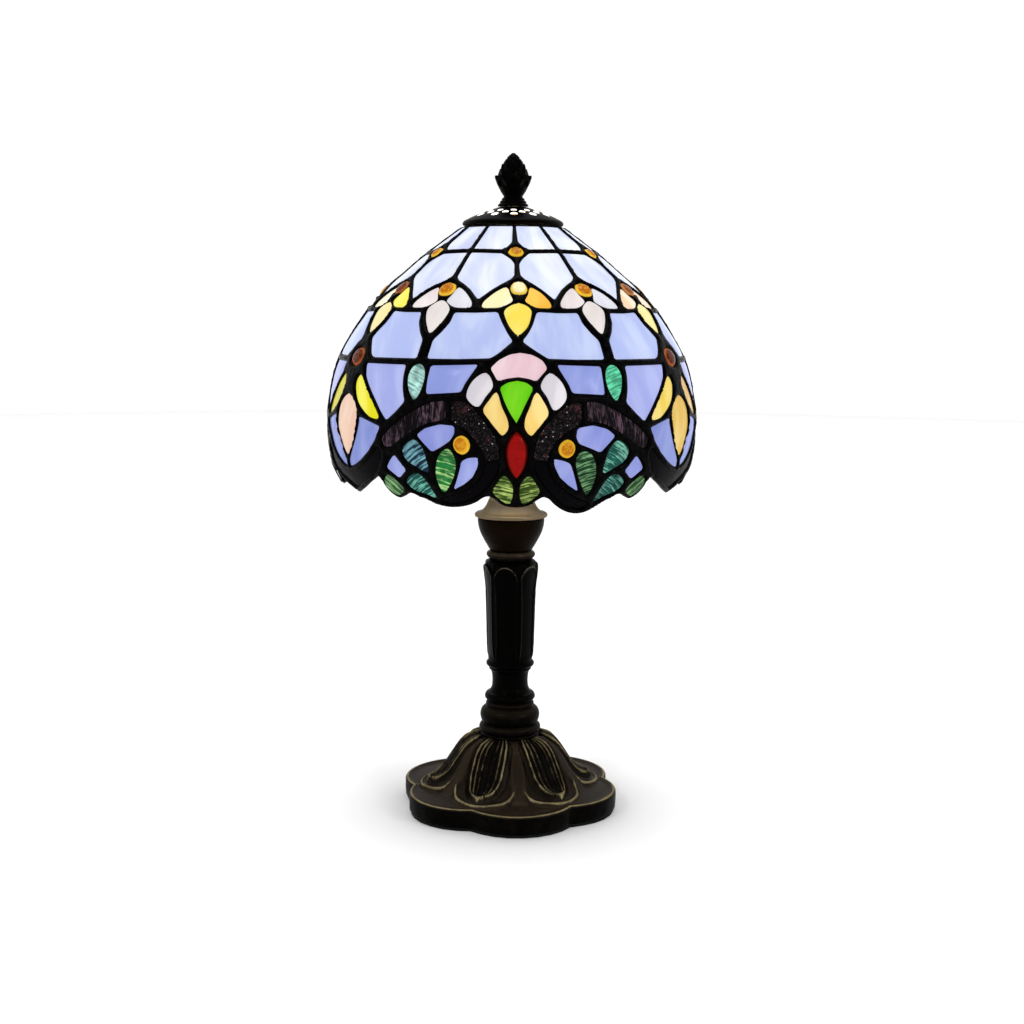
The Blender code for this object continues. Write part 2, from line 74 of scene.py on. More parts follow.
# Each pane is the outline of its visible glass, (angle, height), over one half sector. Panes that start
# and end on 0 or 60 degrees are halves, and their mirror image completes them.
PANES = {
    "crown_a": ("cut", ((1.8, 325.1), (28.0, 325.1), (28.3, 312.7), (9.0, 312.3), (5.5, 313.7),
                        (2.3, 316.4))),
    "crown_jewel": ("soft", ((0.0, 313.5), (3.4, 312.6), (5.0, 310.8), (3.2, 309.0), (0.0, 308.2))),
    "collar_a": ("cut", (
        (8.6, 310.3), (28.5, 310.7), (28.6, 298.0), (26.4, 296.0), (23.2, 294.3), (19.4, 291.6),
        (16.8, 288.6), (15.0, 286.4), (13.2, 288.4), (10.4, 291.4), (7.0, 294.2), (3.4, 296.5),
        (1.5, 298.6), (1.3, 304.6), (3.0, 306.9), (5.8, 308.8),
    )),
    "petal_tip": ("soft", (
        (4.9, 292.4), (8.0, 290.9), (10.9, 287.9), (12.9, 284.6), (12.8, 282.6), (9.5, 282.2), (6.2, 282.6),
        (3.6, 284.2), (2.2, 285.8), (3.3, 288.8),
    )),
    "flower_jewel": ("soft", ((0.0, 295.4), (2.5, 294.5), (3.5, 291.9), (2.4, 289.3), (0.0, 288.5))),
    "drop_front": ("soft", ((0.0, 284.8), (2.8, 283.4), (4.8, 280.8), (4.3, 277.0), (2.8, 272.6),
                            (0.0, 268.2))),
    "field_upper": ("cut", (
        (22.9, 279.9), (23.6, 275.0), (25.7, 270.2), (28.0, 266.2), (28.0, 257.0), (18.0, 257.1),
        (8.4, 257.7), (6.1, 260.2), (3.7, 263.2), (1.5, 266.0), (3.4, 269.8), (5.4, 275.0), (7.0, 280.3),
        (15.0, 279.8),
    )),
    "field_upper_b": ("cut", (
        (37.1, 279.9), (36.4, 275.0), (34.3, 270.2), (32.0, 266.2), (31.8, 257.0), (50.6, 256.8),
        (52.3, 258.0), (54.5, 262.2), (56.7, 266.6), (55.4, 270.0), (53.4, 274.0), (51.9, 280.3),
        (45.0, 279.8),
    )),
    "ring_jewel": ("soft", ((60.0, 261.6), (57.4, 260.2), (56.1, 256.6), (57.3, 253.2), (60.0, 251.8))),
    "arch_pink": ("cut", (
        (0.0, 260.6), (3.2, 259.7), (6.2, 256.9), (8.2, 252.9), (6.9, 249.8), (5.6, 246.6), (3.0, 248.0),
        (0.0, 248.7),
    )),
    "arch_white": ("soft", (
        (9.2, 250.6), (12.3, 247.8), (14.3, 242.0), (14.3, 238.0), (11.2, 234.0), (8.8, 239.2), (6.9, 244.4),
    )),
    "arch_green": ("cut", ((0.0, 246.9), (2.8, 246.0), (4.9, 243.4), (3.3, 237.0), (1.6, 231.0),
                           (0.0, 226.4))),
    "arch_cream": ("soft", (
        (5.8, 241.2), (7.8, 237.4), (9.5, 232.4), (7.8, 227.8), (5.6, 223.0), (4.0, 220.2), (2.4, 223.4),
        (2.5, 228.0), (4.0, 234.0),
    )),
    "marquise": ("soft", (
        (0.0, 222.6), (1.5, 220.2), (2.8, 215.8), (3.1, 210.6), (2.5, 205.0), (1.3, 200.6), (0.0, 198.2),
    )),
    "foot_leaf": ("soft", (
        (3.7, 200.0), (5.6, 196.0), (6.9, 191.4), (5.0, 187.6), (2.2, 185.0), (1.2, 188.2), (1.1, 194.6),
        (2.2, 198.2),
    )),
    "field_inner": ("cut", ((26.2, 253.7), (11.6, 254.6), (13.3, 250.2), (15.1, 245.4), (16.2, 241.0),
                            (26.4, 239.6))),
    "ring_leaf": ("soft", (
        (30.2, 254.4), (32.2, 252.8), (33.1, 249.0), (32.8, 244.6), (31.7, 239.8), (30.2, 236.6),
        (28.9, 238.6), (27.8, 242.4), (27.3, 247.6), (28.1, 252.4),
    )),
    "field_outer": ("cut", (
        (35.2, 253.7), (53.2, 253.7), (51.8, 247.2), (49.2, 242.2), (46.0, 236.4), (43.0, 230.4),
        (40.3, 225.6), (37.0, 230.2), (33.7, 235.6), (34.7, 242.0), (35.2, 248.0),
    )),
    "crescent": ("soft", (
        (54.9, 247.6), (52.3, 244.4), (48.4, 237.4), (45.0, 230.8), (43.5, 226.4), (46.9, 226.5),
        (50.9, 230.0), (54.1, 234.4), (55.9, 239.3), (56.5, 244.4),
    )),
    "long_petal": ("soft", (
        (60.0, 237.6), (57.4, 235.8), (54.6, 231.2), (53.8, 226.0), (54.3, 219.5), (56.2, 212.8),
        (58.6, 207.2), (60.0, 205.6),
    )),
    "field_side": ("cut", (
        (52.6, 226.5), (47.0, 224.2), (42.7, 222.2), (44.9, 215.5), (48.4, 208.9), (52.5, 203.9),
        (56.0, 201.0), (59.2, 199.4), (59.2, 203.0), (57.2, 207.8), (55.0, 213.4), (53.0, 219.8),
        (52.3, 224.0),
    )),
    "scroll_granite": ("cut", (
        (18.9, 236.8), (15.2, 236.4), (12.6, 233.6), (10.5, 229.8), (8.2, 225.2), (6.3, 220.4), (5.2, 215.0),
        (4.8, 208.2), (8.8, 207.6), (9.6, 212.5), (11.4, 217.6), (14.4, 222.8), (18.9, 227.2),
    )),
    "scroll_ripple": ("cut", (
        (20.5, 236.8), (25.0, 235.7), (30.6, 231.2), (34.8, 226.8), (38.4, 222.2), (42.2, 216.6),
        (41.2, 211.8), (38.2, 212.8), (35.0, 216.6), (31.0, 220.9), (26.0, 225.3), (20.5, 227.3),
    )),
    "eye_field": ("cut", (
        (17.6, 224.4), (22.0, 225.0), (26.6, 222.8), (29.4, 219.2), (27.2, 215.2), (24.6, 211.0),
        (21.6, 213.6), (18.4, 216.6), (17.3, 220.0),
    )),
    "eye_jewel": ("soft", (
        (15.0, 219.3), (16.8, 217.6), (17.5, 214.6), (16.8, 211.4), (15.0, 209.8), (13.2, 211.4),
        (12.5, 214.4), (13.2, 217.6),
    )),
    "eye_leaf": ("soft", (
        (19.2, 212.6), (17.5, 208.6), (17.6, 202.0), (19.2, 195.6), (21.9, 190.4), (23.4, 196.0),
        (23.6, 202.6), (22.6, 208.8), (21.0, 211.8),
    )),
    "eye_teal": ("soft", (
        (30.4, 216.8), (33.2, 214.4), (34.4, 211.2), (33.2, 206.4), (29.8, 203.0), (26.1, 200.6),
        (26.5, 207.6), (27.9, 213.6),
    )),
    "eye_crescent": ("cut", (
        (10.6, 209.0), (11.0, 204.4), (12.6, 199.0), (15.4, 195.0), (18.7, 192.0), (17.4, 197.0),
        (16.3, 202.6), (15.6, 206.6), (13.6, 208.4),
    )),
    "edge_field": ("cut", ((37.5, 208.6), (39.4, 205.2), (40.9, 201.4), (36.4, 196.4), (33.5, 201.0),
                           (35.4, 204.6))),
    "edge_teal": ("soft", (
        (29.5, 199.6), (32.6, 198.0), (34.0, 194.6), (31.6, 190.4), (28.0, 188.8), (24.9, 187.0),
        (25.6, 191.0), (27.0, 195.8),
    )),
    "edge_leaf": ("soft", (
        (40.6, 197.8), (42.6, 195.2), (43.0, 191.6), (41.6, 188.4), (39.3, 186.8), (37.2, 188.2),
        (35.9, 190.4), (37.2, 194.0),
    )),
    "scroll_foot": ("cut", (
        (4.9, 207.0), (8.7, 206.4), (9.4, 201.0), (11.4, 196.0), (15.0, 191.6), (19.4, 188.8), (22.6, 187.6),
        (23.4, 185.6), (20.5, 184.6), (16.0, 185.8), (12.6, 188.2), (10.0, 191.4), (7.8, 195.8), (5.7, 201.0),
    )),
    "side_border": ("cut", (
        (60.0, 196.8), (55.6, 198.6), (51.2, 201.8), (47.2, 206.4), (43.8, 212.2), (42.4, 209.4),
        (43.2, 204.8), (44.6, 200.2), (47.0, 197.2), (51.0, 193.8), (56.0, 190.4), (60.0, 188.0),
    )),
}
# Panes that repeat inside the half sector: new name, source, and how the angle is changed.
COPIES = (
    ("crown_b", "crown_a", lambda a: 60.0 - a),
    ("crown_jewel_b", "crown_jewel", lambda a: 60.0 - a),
    ("collar_b", "collar_a", lambda a: 60.0 - a),
    ("petal_side", "petal_tip", lambda a: 60.0 - a),
    ("petal_white_a", "petal_tip", lambda a: 30.0 - a),
    ("petal_white_b", "petal_tip", lambda a: 30.0 + a),
    ("side_jewel", "flower_jewel", lambda a: 60.0 - a * 1.15),
    ("drop_side", "drop_front", lambda a: 60.0 - a * 1.12),
)
# Whole shapes centred on 30 degrees, mirrored about it: name, style and the half outline from the axis.
CENTRED = {
    "white_jewel": ((0.0, 294.8), (2.8, 294.0), (4.0, 291.4), (2.8, 288.9), (0.0, 288.1)),
    "drop_white": ((0.0, 286.0), (2.4, 284.8), (4.7, 281.4), (4.1, 277.6), (2.2, 273.0), (0.0, 269.6)),
}


def catmull(points, closed, steps):
    """Centripetal Catmull-Rom curve through 2-D points."""
    pts = [np.array(p, float) for p in points]
    if closed:
        pts = [pts[-1]] + pts + [pts[0], pts[1]]
    else:
        pts = [2 * pts[0] - pts[1]] + pts + [2 * pts[-1] - pts[-2]]
    curve = []
    for p0, p1, p2, p3 in zip(pts, pts[1:], pts[2:], pts[3:]):
        t0 = 0.0
        t1 = t0 + max(np.linalg.norm(p1 - p0), 1e-6) ** 0.5
        t2 = t1 + max(np.linalg.norm(p2 - p1), 1e-6) ** 0.5
        t3 = t2 + max(np.linalg.norm(p3 - p2), 1e-6) ** 0.5
        for t in np.linspace(t1, t2, steps, endpoint=False):
            a1 = (t1 - t) / (t1 - t0) * p0 + (t - t0) / (t1 - t0) * p1
            a2 = (t2 - t) / (t2 - t1) * p1 + (t - t1) / (t2 - t1) * p2
            a3 = (t3 - t) / (t3 - t2) * p2 + (t - t2) / (t3 - t2) * p3
            b1 = (t2 - t) / (t2 - t0) * a1 + (t - t0) / (t2 - t0) * a2
            b2 = (t3 - t) / (t3 - t1) * a2 + (t - t1) / (t3 - t1) * a3
            curve.append((t2 - t) / (t2 - t1) * b1 + (t - t1) / (t2 - t1) * b2)
    if not closed:
        curve.append(pts[-2])
    return np.array(curve)


HAND_LAID = (                  # angle, height, shift in angle and height, reach in degrees and millimetres
    (0.0, 292.0, 1.25, 0.2, 9.0, 9.0), (0.0, 308.0, 0.8, 0.0, 9.0, 7.0), (2.0, 256.0, 2.0, -0.2, 8.0, 6.0),
    (0.5, 275.0, 0.9, 0.0, 6.0, 7.0), (7.0, 286.5, 1.0, 0.0, 5.0, 5.0), (15.0, 214.0, -0.9, -1.5, 5.0, 7.0),
    (-15.0, 215.0, -0.8, 0.8, 5.0, 7.0), (-30.0, 245.0, -1.0, 0.0, 6.0, 12.0),
    (13.0, 230.0, -0.8, -2.2, 6.0, 8.0), (19.5, 184.0, 0.0, -3.2, 8.5, 7.0),
    (1.0, 236.0, -0.5, 0.0, 6.0, 9.0), (62.0, 262.0, 0.9, 0.6, 8.0, 9.0),
    (-61.0, 292.0, 1.0, 0.4, 9.0, 9.0), (120.0, 290.0, -1.0, 0.4, 9.0, 9.0),
    (150.0, 215.0, 1.0, -1.0, 8.0, 9.0), (180.0, 292.0, 0.9, -0.4, 9.0, 9.0),
    (230.0, 236.0, -1.1, 0.8, 8.0, 9.0), (100.0, 236.0, 1.0, -0.8, 8.0, 9.0),
)


def hand_laid(angle, z):
    """Small local shifts that keep the leading from being perfectly regular."""
    moved_angle, moved_z = angle.copy(), z.copy()
    for at, level, turn, rise, wide, tall in HAND_LAID:
        off = (angle - at + 180.0) % 360.0 - 180.0
        weight = np.exp(-(off / wide) ** 2 - ((z - level) / tall) ** 2)
        moved_angle = moved_angle + turn * weight
        moved_z = moved_z + rise * weight
    return moved_angle, moved_z


class Profile:
    """The shade's outer face as radius and arc length against height."""

    def __init__(self, points):
        dense = catmull(points, False, 12)
        self.r = dense[:, 0][::-1]
        self.z = dense[:, 1][::-1]
        steps = np.hypot(np.diff(dense[:, 0]), np.diff(dense[:, 1]))
        arc = np.concatenate([[0.0], np.cumsum(steps)])
        self.arc_table = arc[::-1]
        slope_r = np.gradient(self.r, self.z)
        length = np.hypot(1.0, slope_r)
        self.nr = 1.0 / length
        self.nz = -slope_r / length

    def radius(self, z):
        return np.interp(z, self.z, self.r)

    def arc(self, z):
        return np.interp(z, self.z, self.arc_table)

    def height(self, arc):
        return np.interp(arc, self.arc_table[::-1], self.z[::-1])

    def place(self, angle, z, lift):
        """Points in millimetres, `lift` outside the outer face."""
        angle, z = hand_laid(np.asarray(angle, float), np.asarray(z, float))
        turn = np.radians(angle + SHADE_TURN)
        reach = self.radius(z) + lift * np.interp(z, self.z, self.nr)
        level = z + lift * np.interp(z, self.z, self.nz)
        return np.stack([reach * np.sin(turn), -reach * np.cos(turn), level], axis=-1)


SHADE = Profile(SHADE_OUTER)
FLAT = math.radians(1.0) * 88.0            # millimetres a degree in the flat plane of the pattern


def to_flat(points):
    array = np.array(points, float)
    return np.stack([array[:, 0] * FLAT, SHADE.arc(array[:, 1])], axis=-1)


def from_flat(flat):
    return flat[:, 0] / FLAT, SHADE.height(flat[:, 1])


def resample(line, closed, pitch):
    """Points at most `pitch` apart along a polyline."""
    pts = list(line) + ([line[0]] if closed else [])
    out = []
    for a, b in zip(pts, pts[1:]):
        count = max(1, int(math.ceil(np.linalg.norm(b - a) / pitch)))
        for i in range(count):
            out.append(a + (b - a) * i / count)
    if not closed:
        out.append(pts[-1])
    return np.array(out)


def thin_out(line, closed, pitch):
    """Drops points of a dense curve that are nearer than `pitch` to the last kept one."""
    kept = [line[0]]
    for p in line[1:]:
        if np.linalg.norm(p - kept[-1]) >= pitch:
            kept.append(p)
    if not closed:
        kept[-1] = line[-1]
    elif np.linalg.norm(kept[-1] - kept[0]) < pitch * 0.6:
        kept.pop()
    return np.array(kept)


def round_corners(flat, closed, reach):
    """Cuts each corner of a straight-sided outline twice, which rounds it."""
    pts = list(flat)
    for _ in range(2):
        out = []
        last = len(pts)
        for i in range(last):
            p = pts[i]
            if not closed and i in (0, last - 1):
                out.append(p)
                continue
            before = pts[i - 1]
            after = pts[(i + 1) % last]
            for other in (before, after):
                step = other - p
                length = np.linalg.norm(step)
                out.append(p + step * min(reach, length * 0.3) / max(length, 1e-6))
        pts = out
        reach *= 0.45
    return np.array(pts)


OUTLINE_PITCH = 1.25


def pane_outline(style, points):
    flat = to_flat(points)
    closed = not (points[0][0] in (0.0, HALF_SECTOR) and points[-1][0] == points[0][0])
    if style == "soft":
        line = catmull(flat, closed, 10)
        line = thin_out(line, closed, OUTLINE_PITCH * 0.8)
    else:
        line = resample(round_corners(flat, closed, 0.75), closed, OUTLINE_PITCH)
        line = thin_out(line, closed, OUTLINE_PITCH * 0.45)
    if not closed:
        line[0][0] = points[0][0] * FLAT
        line[-1][0] = points[0][0] * FLAT
    return line, closed


def all_panes():
    """name -> (style, outline points) of every pane in the half sector."""
    panes = dict(PANES)
    for name, source, change in COPIES:
        style, points = PANES[source]
        panes[name] = (style, tuple((round(change(a), 4), z) for a, z in points))
    for name, half in CENTRED.items():
        right = [(30.0 + a, z) for a, z in half]
        left = [(30.0 - a, z) for a, z in half[-2:0:-1]]
        panes[name] = ("soft", tuple(right + left))
    return panes


def inside(points, loop):
    """Even-odd test of many points against one closed loop."""
    x, y = points[:, 0], points[:, 1]
    hit = np.zeros(len(points), bool)
    for (x0, y0), (x1, y1) in zip(loop, np.roll(loop, -1, axis=0)):
        if y0 == y1:
            continue
        crosses = (y0 > y) != (y1 > y)
        at = x0 + (y - y0) * (x1 - x0) / (y1 - y0)
        hit ^= crosses & (x < at)
    return hit


def hem_line():
    return resample(catmull(to_flat(HEM), False, 4), False, OUTLINE_PITCH)


class Pattern:
    """The half sector cut into triangles that follow every pane's outline."""

    def __init__(self):
        self.names = []
        loops = []
        coords = []
        edges = []

        def add(line, closed):
            start = len(coords)
            coords.extend(tuple(p) for p in line)
            count = len(line)
            for i in range(count - 1 + closed):
                edges.append((start + i, start + (i + 1) % count))

        hem = hem_line()
        top = SHADE.arc(RIM_TOP)
        right = HALF_SECTOR * FLAT
        across = np.stack([np.linspace(0.0, right, 40), np.full(40, top)], axis=-1)
        add(across, False)
        add(hem, False)
        self.sources = [hem, across]
        ends = {0.0: [top, hem[0][1]], right: [top, hem[-1][1]]}
        for name, (style, points) in all_panes().items():
            line, closed = pane_outline(style, points)
            add(line, closed)
            if not closed:
                ends[line[0][0]] += [line[0][1], line[-1][1]]
            self.names.append(name)
            loops.append(line)
            self.sources.append(line)
        for x, arcs in ends.items():
            side = resample(np.array([(x, arc) for arc in sorted(arcs)]), False, OUTLINE_PITCH)
            add(side, False)
        domain = np.concatenate([across, hem[::-1]])
        fill = self.fill_points(domain, loops)
        coords.extend(tuple(p) for p in fill)
        found = geometry.delaunay_2d_cdt([Vector(c) for c in coords], edges, [], 0, 1e-4)
        points = np.array([tuple(v) for v in found[0]])
        faces = []
        for face in found[2]:
            if len(face) == 3:
                faces.append(tuple(face))
        faces = np.array(faces)
        middle = points[faces].mean(axis=1)
        kept = inside(middle, domain)
        faces = faces[kept]
        middle = middle[kept]
        owner = np.full(len(faces), -1)
        for index, loop in enumerate(loops):
            owner[inside(middle, loop)] = index
        self.flat = points
        self.faces = faces
        self.owner = owner
        self.angle, self.z = from_flat(points)

    def fill_points(self, domain, loops):
        """Background points: close together under the solder and the jewels, wide apart in the glass."""
        tree = kdtree.KDTree(sum(len(s) for s in self.sources))
        index = 0
        for source in self.sources:
            for p in source:
                tree.insert((p[0], p[1], 0.0), index)
                index += 1
        tree.balance()
        fine = 1.15
        rows = []
        arcs = np.arange(SHADE.arc(RIM_TOP) + fine, SHADE.arc(HEM[8][1]), fine * 0.87)
        for number, arc in enumerate(arcs):
            radius = SHADE.radius(SHADE.height(arc))
            step = fine / radius * 88.0
            xs = np.arange(step * (0.5 + 0.5 * (number % 2)), HALF_SECTOR * FLAT - step * 0.4, step)
            places = np.arange(len(xs))
            rows.append(np.stack([xs, np.full(len(xs), arc), np.full(len(xs), number), places], axis=-1))
        grid = np.concatenate(rows)
        points = grid[:, :2]
        points_inside = inside(points, domain)
        in_glass = np.zeros(len(points), bool)
        in_jewel = np.zeros(len(points), bool)
        for name, loop in zip(self.names, loops):
            hit = inside(points, loop)
            in_glass |= hit
            if "jewel" in name or name == "marquise":
                in_jewel |= hit
        coarse = (grid[:, 2] % 3 == 0) & (grid[:, 3] % 3 == 0)
        wanted = points_inside & (~in_glass | in_jewel | coarse)
        kept = []
        for p, use in zip(points, wanted):
            if use and tree.find((p[0], p[1], 0.0))[2] > 0.62:
                kept.append(p)
        return kept


GLASS_FACE = -0.5              # glass surface against the shade's outer face
GLASS_THICK = 2.4
GLASS_SLOTS = {"crown": "pale_glass", "upper": "blue_glass", "skirt": "deep_glass"}


def depth_from_edges(pattern, angle, z):
    """Distance of each point from the nearest pane edge or border, in millimetres on the shade."""
    sources = []
    for source in pattern.sources:
        a, h = from_flat(source)
        sources.append(SHADE.place(a, h, 0.0))
    joined = np.concatenate(sources)
    tree = kdtree.KDTree(len(joined))
    for i, p in enumerate(joined):
        tree.insert(p, i)
    tree.balance()
    return np.array([tree.find(p)[2] for p in SHADE.place(angle, z, 0.0)])


def wobble(position, scale, seed):
    return noise.noise(Vector(position) * scale + Vector((seed, seed * 0.7, -seed)))


def closed_shell(faces, outer, inner):
    """Vertices and faces of a solid between two point sets that share their triangles."""
    used = np.unique(faces)
    index = {int(v): i for i, v in enumerate(used)}
    count = len(used)
    verts = [tuple(p * MM) for p in outer[used]] + [tuple(p * MM) for p in inner[used]]
    out = []
    rim = {}
    for a, b, c in faces:
        a, b, c = index[int(a)], index[int(b)], index[int(c)]
        out.append((a, b, c))
        out.append((c + count, b + count, a + count))
        for edge in ((a, b), (b, c), (c, a)):
            rim[edge] = True
    for a, b in rim:
        if (b, a) not in rim:
            out.append((b, a, a + count, b + count))
    return verts, out, used


def new_object(name, verts, faces, mats, smooth_angle=40.0):
    mesh = bpy.data.meshes.new(name)
    mesh.from_pydata(verts, [], faces)
    mesh.validate()
    for mat in mats:
        mesh.materials.append(mat)
    mesh.shade_smooth()
    mesh.set_sharp_from_angle(angle=math.radians(smooth_angle))
    obj = bpy.data.objects.new(name, mesh)
    add_to_scene(obj)
    return obj


# ================================================================ colour
def linear(r, g, b):
    """A colour given in 0-255 sRGB as linear RGB."""
    out = []
    for value in (r, g, b):
        v = value / 255.0
        out.append(v / 12.92 if v <= 0.04045 else ((v + 0.055) / 1.055) ** 2.4)
    return tuple(out)


class Nodes:
    """Short hand for building a material's node tree."""

    def __init__(self, name):
        self.mat = bpy.data.materials.new(name)
        self.mat.use_nodes = True
        self.tree = self.mat.node_tree
        self.shader = self.tree.nodes["Principled BSDF"]

    def add(self, kind, **settings):
        node = self.tree.nodes.new("ShaderNode" + kind)
        for key, value in settings.items():
            setattr(node, key, value)
        return node

    def link(self, source, target):
        self.tree.links.new(source, target)

    def attribute(self, name, output="Vector"):
        node = self.add("Attribute", attribute_name=name)
        return node.outputs[output]

    def value(self, operation, a, b=None, c=None, clamp=False):
        node = self.add("Math", operation=operation, use_clamp=clamp)
        for slot, item in zip(node.inputs, (a, b, c)):
            if item is None:
                continue
            if isinstance(item, (int, float)):
                slot.default_value = item
            else:
                self.link(item, slot)
        return node.outputs[0]

    def span(self, source, low, high, to_low=0.0, to_high=1.0):
        node = self.add("MapRange", interpolation_type="SMOOTHSTEP")
        self.link(source, node.inputs["Value"])
        for key, number in (("From Min", low), ("From Max", high), ("To Min", to_low), ("To Max", to_high)):
            node.inputs[key].default_value = number
        return node.outputs["Result"]

    def mix(self, factor, a, b, blend="MIX"):
        node = self.add("Mix", data_type="RGBA", blend_type=blend)
        node.clamp_factor = True
        for slot, item in ((node.inputs[0], factor), (node.inputs[6], a), (node.inputs[7], b)):
            if isinstance(item, (int, float)):
                slot.default_value = item
            elif isinstance(item, tuple):
                slot.default_value = (*item, 1.0)
            else:
                self.link(item, slot)
        return node.outputs[2]

    def noise(self, vector, scale, detail=3.0, roughness=0.55, distortion=0.0, output="Fac"):
        node = self.add("TexNoise")
        self.link(vector, node.inputs["Vector"])
        for key, number in (("Scale", scale), ("Detail", detail), ("Roughness", roughness),
                            ("Distortion", distortion)):
            node.inputs[key].default_value = number
        return node.outputs[output]

    def scaled(self, vector, x, y, z):
        node = self.add("VectorMath", operation="MULTIPLY")
        self.link(vector, node.inputs[0])
        node.inputs[1].default_value = (x, y, z)
        return node.outputs[0]

    def bump(self, height, strength, distance):
        node = self.add("Bump")
        node.inputs["Strength"].default_value = strength
        node.inputs["Distance"].default_value = distance
        self.link(height, node.inputs["Height"])
        self.link(node.outputs[0], self.shader.inputs["Normal"])

    def set(self, **numbers):
        for key, number in numbers.items():
            self.shader.inputs[key.replace("_", " ")].default_value = number

    def glow(self, colour, body, strength):
        """Glass that is partly lit from outside (`body`) and partly lit through (`strength`)."""
        node = self.add("VectorMath", operation="SCALE")
        self.link(colour, node.inputs[0])
        node.inputs["Scale"].default_value = body
        self.link(node.outputs[0], self.shader.inputs["Base Color"])
        self.link(colour, self.shader.inputs["Emission Color"])
        self.shader.inputs["Emission Strength"].default_value = strength


GLASS_BODY = 0.42              # share of the colour that reflects the room
GLASS_GLOW = 0.56              # share of the colour that the bulb lights through


def glass_material(name, build, roughness=0.16, glow=GLASS_GLOW, ripple=0.25, level=0.06):
    """A glossy opalescent glass; `build` returns its colour from the pane's own coordinates."""
    n = Nodes(name)
    local = n.attribute("local")
    colour, relief = build(n, local)
    n.glow(colour, GLASS_BODY, glow)
    n.set(Roughness=roughness)
    n.shader.inputs["Specular IOR Level"].default_value = level
    n.bump(relief, ripple, 0.0006)
    return n.mat


def opal_colour(n, local):
    """Soft clouds of the accent colour, drawn out along the pane, with the faintest of streaks."""
    tint = n.attribute("tint", "Color")
    accent = n.attribute("accent", "Color")
    cloud = n.noise(n.scaled(local, 0.030, 0.085, 1.0), 1.0, 2.0, 0.45, 0.35)
    streak = n.noise(n.scaled(local, 0.05, 0.42, 1.0), 1.0, 2.0, 0.5, 0.3)
    amount = n.value("ADD", n.value("MULTIPLY", cloud, 0.8), n.value("MULTIPLY", streak, 0.14))
    mask = n.span(amount, 0.33, 0.68)
    return n.mix(mask, tint, accent), n.value("ADD", cloud, n.value("MULTIPLY", streak, 0.3))


def leaf_colour(n, local):
    """Streaky leaf glass: uneven stripes of the accent run across it, over light and dark patches."""
    tint = n.attribute("tint", "Color")
    accent = n.attribute("accent", "Color")
    split = n.add("SeparateXYZ")
    n.link(local, split.inputs[0])
    along, across = split.outputs[0], split.outputs[1]
    laid = n.add("CombineXYZ")
    n.link(n.value("ADD", along, n.value("MULTIPLY", n.value("ABSOLUTE", across), 0.10)), laid.inputs[0])
    n.link(n.value("MULTIPLY", across, 0.07), laid.inputs[1])
    n.link(split.outputs[2], laid.inputs[2])
    wave = n.noise(laid.outputs[0], 1.05, 2.0, 0.6, 0.12)
    uneven = n.noise(n.scaled(local, 0.6, 0.35, 1.0), 1.0, 2.0, 0.6)
    stripes = n.span(n.value("ADD", wave, n.value("MULTIPLY", uneven, 0.2)), 0.57, 0.70)
    colour = n.mix(n.value("MULTIPLY", stripes, 0.9), tint, accent)
    shade = n.span(n.noise(n.scaled(local, 0.2, 0.2, 1.0), 1.0, 3.0), 0.3, 0.7, 0.6, 1.25)
    grey = n.add("CombineColor")
    for slot in grey.inputs:
        n.link(shade, slot)
    return n.mix(1.0, colour, grey.outputs[0], "MULTIPLY"), wave


def jewel_colour(n, local):
    """Thick pressed jewel: dark heart, bright rim, a few darker swirls."""
    tint = n.attribute("tint", "Color")
    accent = n.attribute("accent", "Color")
    rim = n.attribute("rim", "Fac")
    swirl = n.noise(n.scaled(local, 0.34, 0.34, 1.0), 1.0, 3.0, 0.6, 1.6)
    heart = n.span(rim, 0.5, 1.9)
    patches = n.span(swirl, 0.40, 0.60, -0.35, 0.35)
    mask = n.value("ADD", heart, n.value("MULTIPLY", patches, n.span(rim, 0.9, 2.0)), clamp=True)
    return n.mix(mask, accent, tint), swirl


def ripple_colour(n, local):
    """Dark glass with upright pale ripples."""
    tint = n.attribute("tint", "Color")
    accent = n.attribute("accent", "Color")
    drift = n.noise(n.scaled(local, 0.55, 0.12, 1.0), 1.0, 2.0, 0.5, 0.8)
    fine = n.noise(n.scaled(local, 0.9, 0.18, 1.0), 1.0, 3.0, 0.6, 0.4)
    crest = n.span(n.value("ADD", n.value("MULTIPLY", drift, 0.5), n.value("MULTIPLY", fine, 0.5)), 0.48,
                   0.66)
    return n.mix(crest, tint, accent), crest


def granite_colour(n, local):
    """Dark granular glass with pale specks painted in as the glitter of its grainy face."""
    tint = n.attribute("tint", "Color")
    accent = n.attribute("accent", "Color")
    grains = n.add("TexVoronoi", feature="F1")
    n.link(local, grains.inputs["Vector"])
    grains.inputs["Scale"].default_value = 0.85
    chance = n.add("SeparateColor")
    n.link(grains.outputs["Color"], chance.inputs[0])
    # pale specks: painted glints
    dot = n.value("MULTIPLY", n.span(grains.outputs["Distance"], 0.08, 0.40, 1.0, 0.0),
                  n.span(chance.outputs[0], 0.88, 0.97))
    patch = n.span(n.noise(n.scaled(local, 0.3, 0.3, 1.0), 1.0, 3.0), 0.35, 0.62, 0.3, 1.0)
    mask = n.value("MULTIPLY", dot, patch)
    soft = n.value("MULTIPLY", n.span(n.noise(n.scaled(local, 1.1, 1.1, 1.0), 1.0, 2.0), 0.50, 0.75), 0.05)
    warm = n.mix(1.0, accent, linear(92, 50, 52), "MULTIPLY")
    blush = n.span(n.noise(n.scaled(local, 0.22, 0.22, 1.0), 1.0, 2.0, 0.5), 0.54, 0.70)
    ground = n.mix(n.value("MULTIPLY", blush, n.span(n.noise(local, 1.6, 2.0), 0.44, 0.64)), tint, warm)
    return n.mix(n.value("ADD", mask, soft, clamp=True), ground, accent), mask


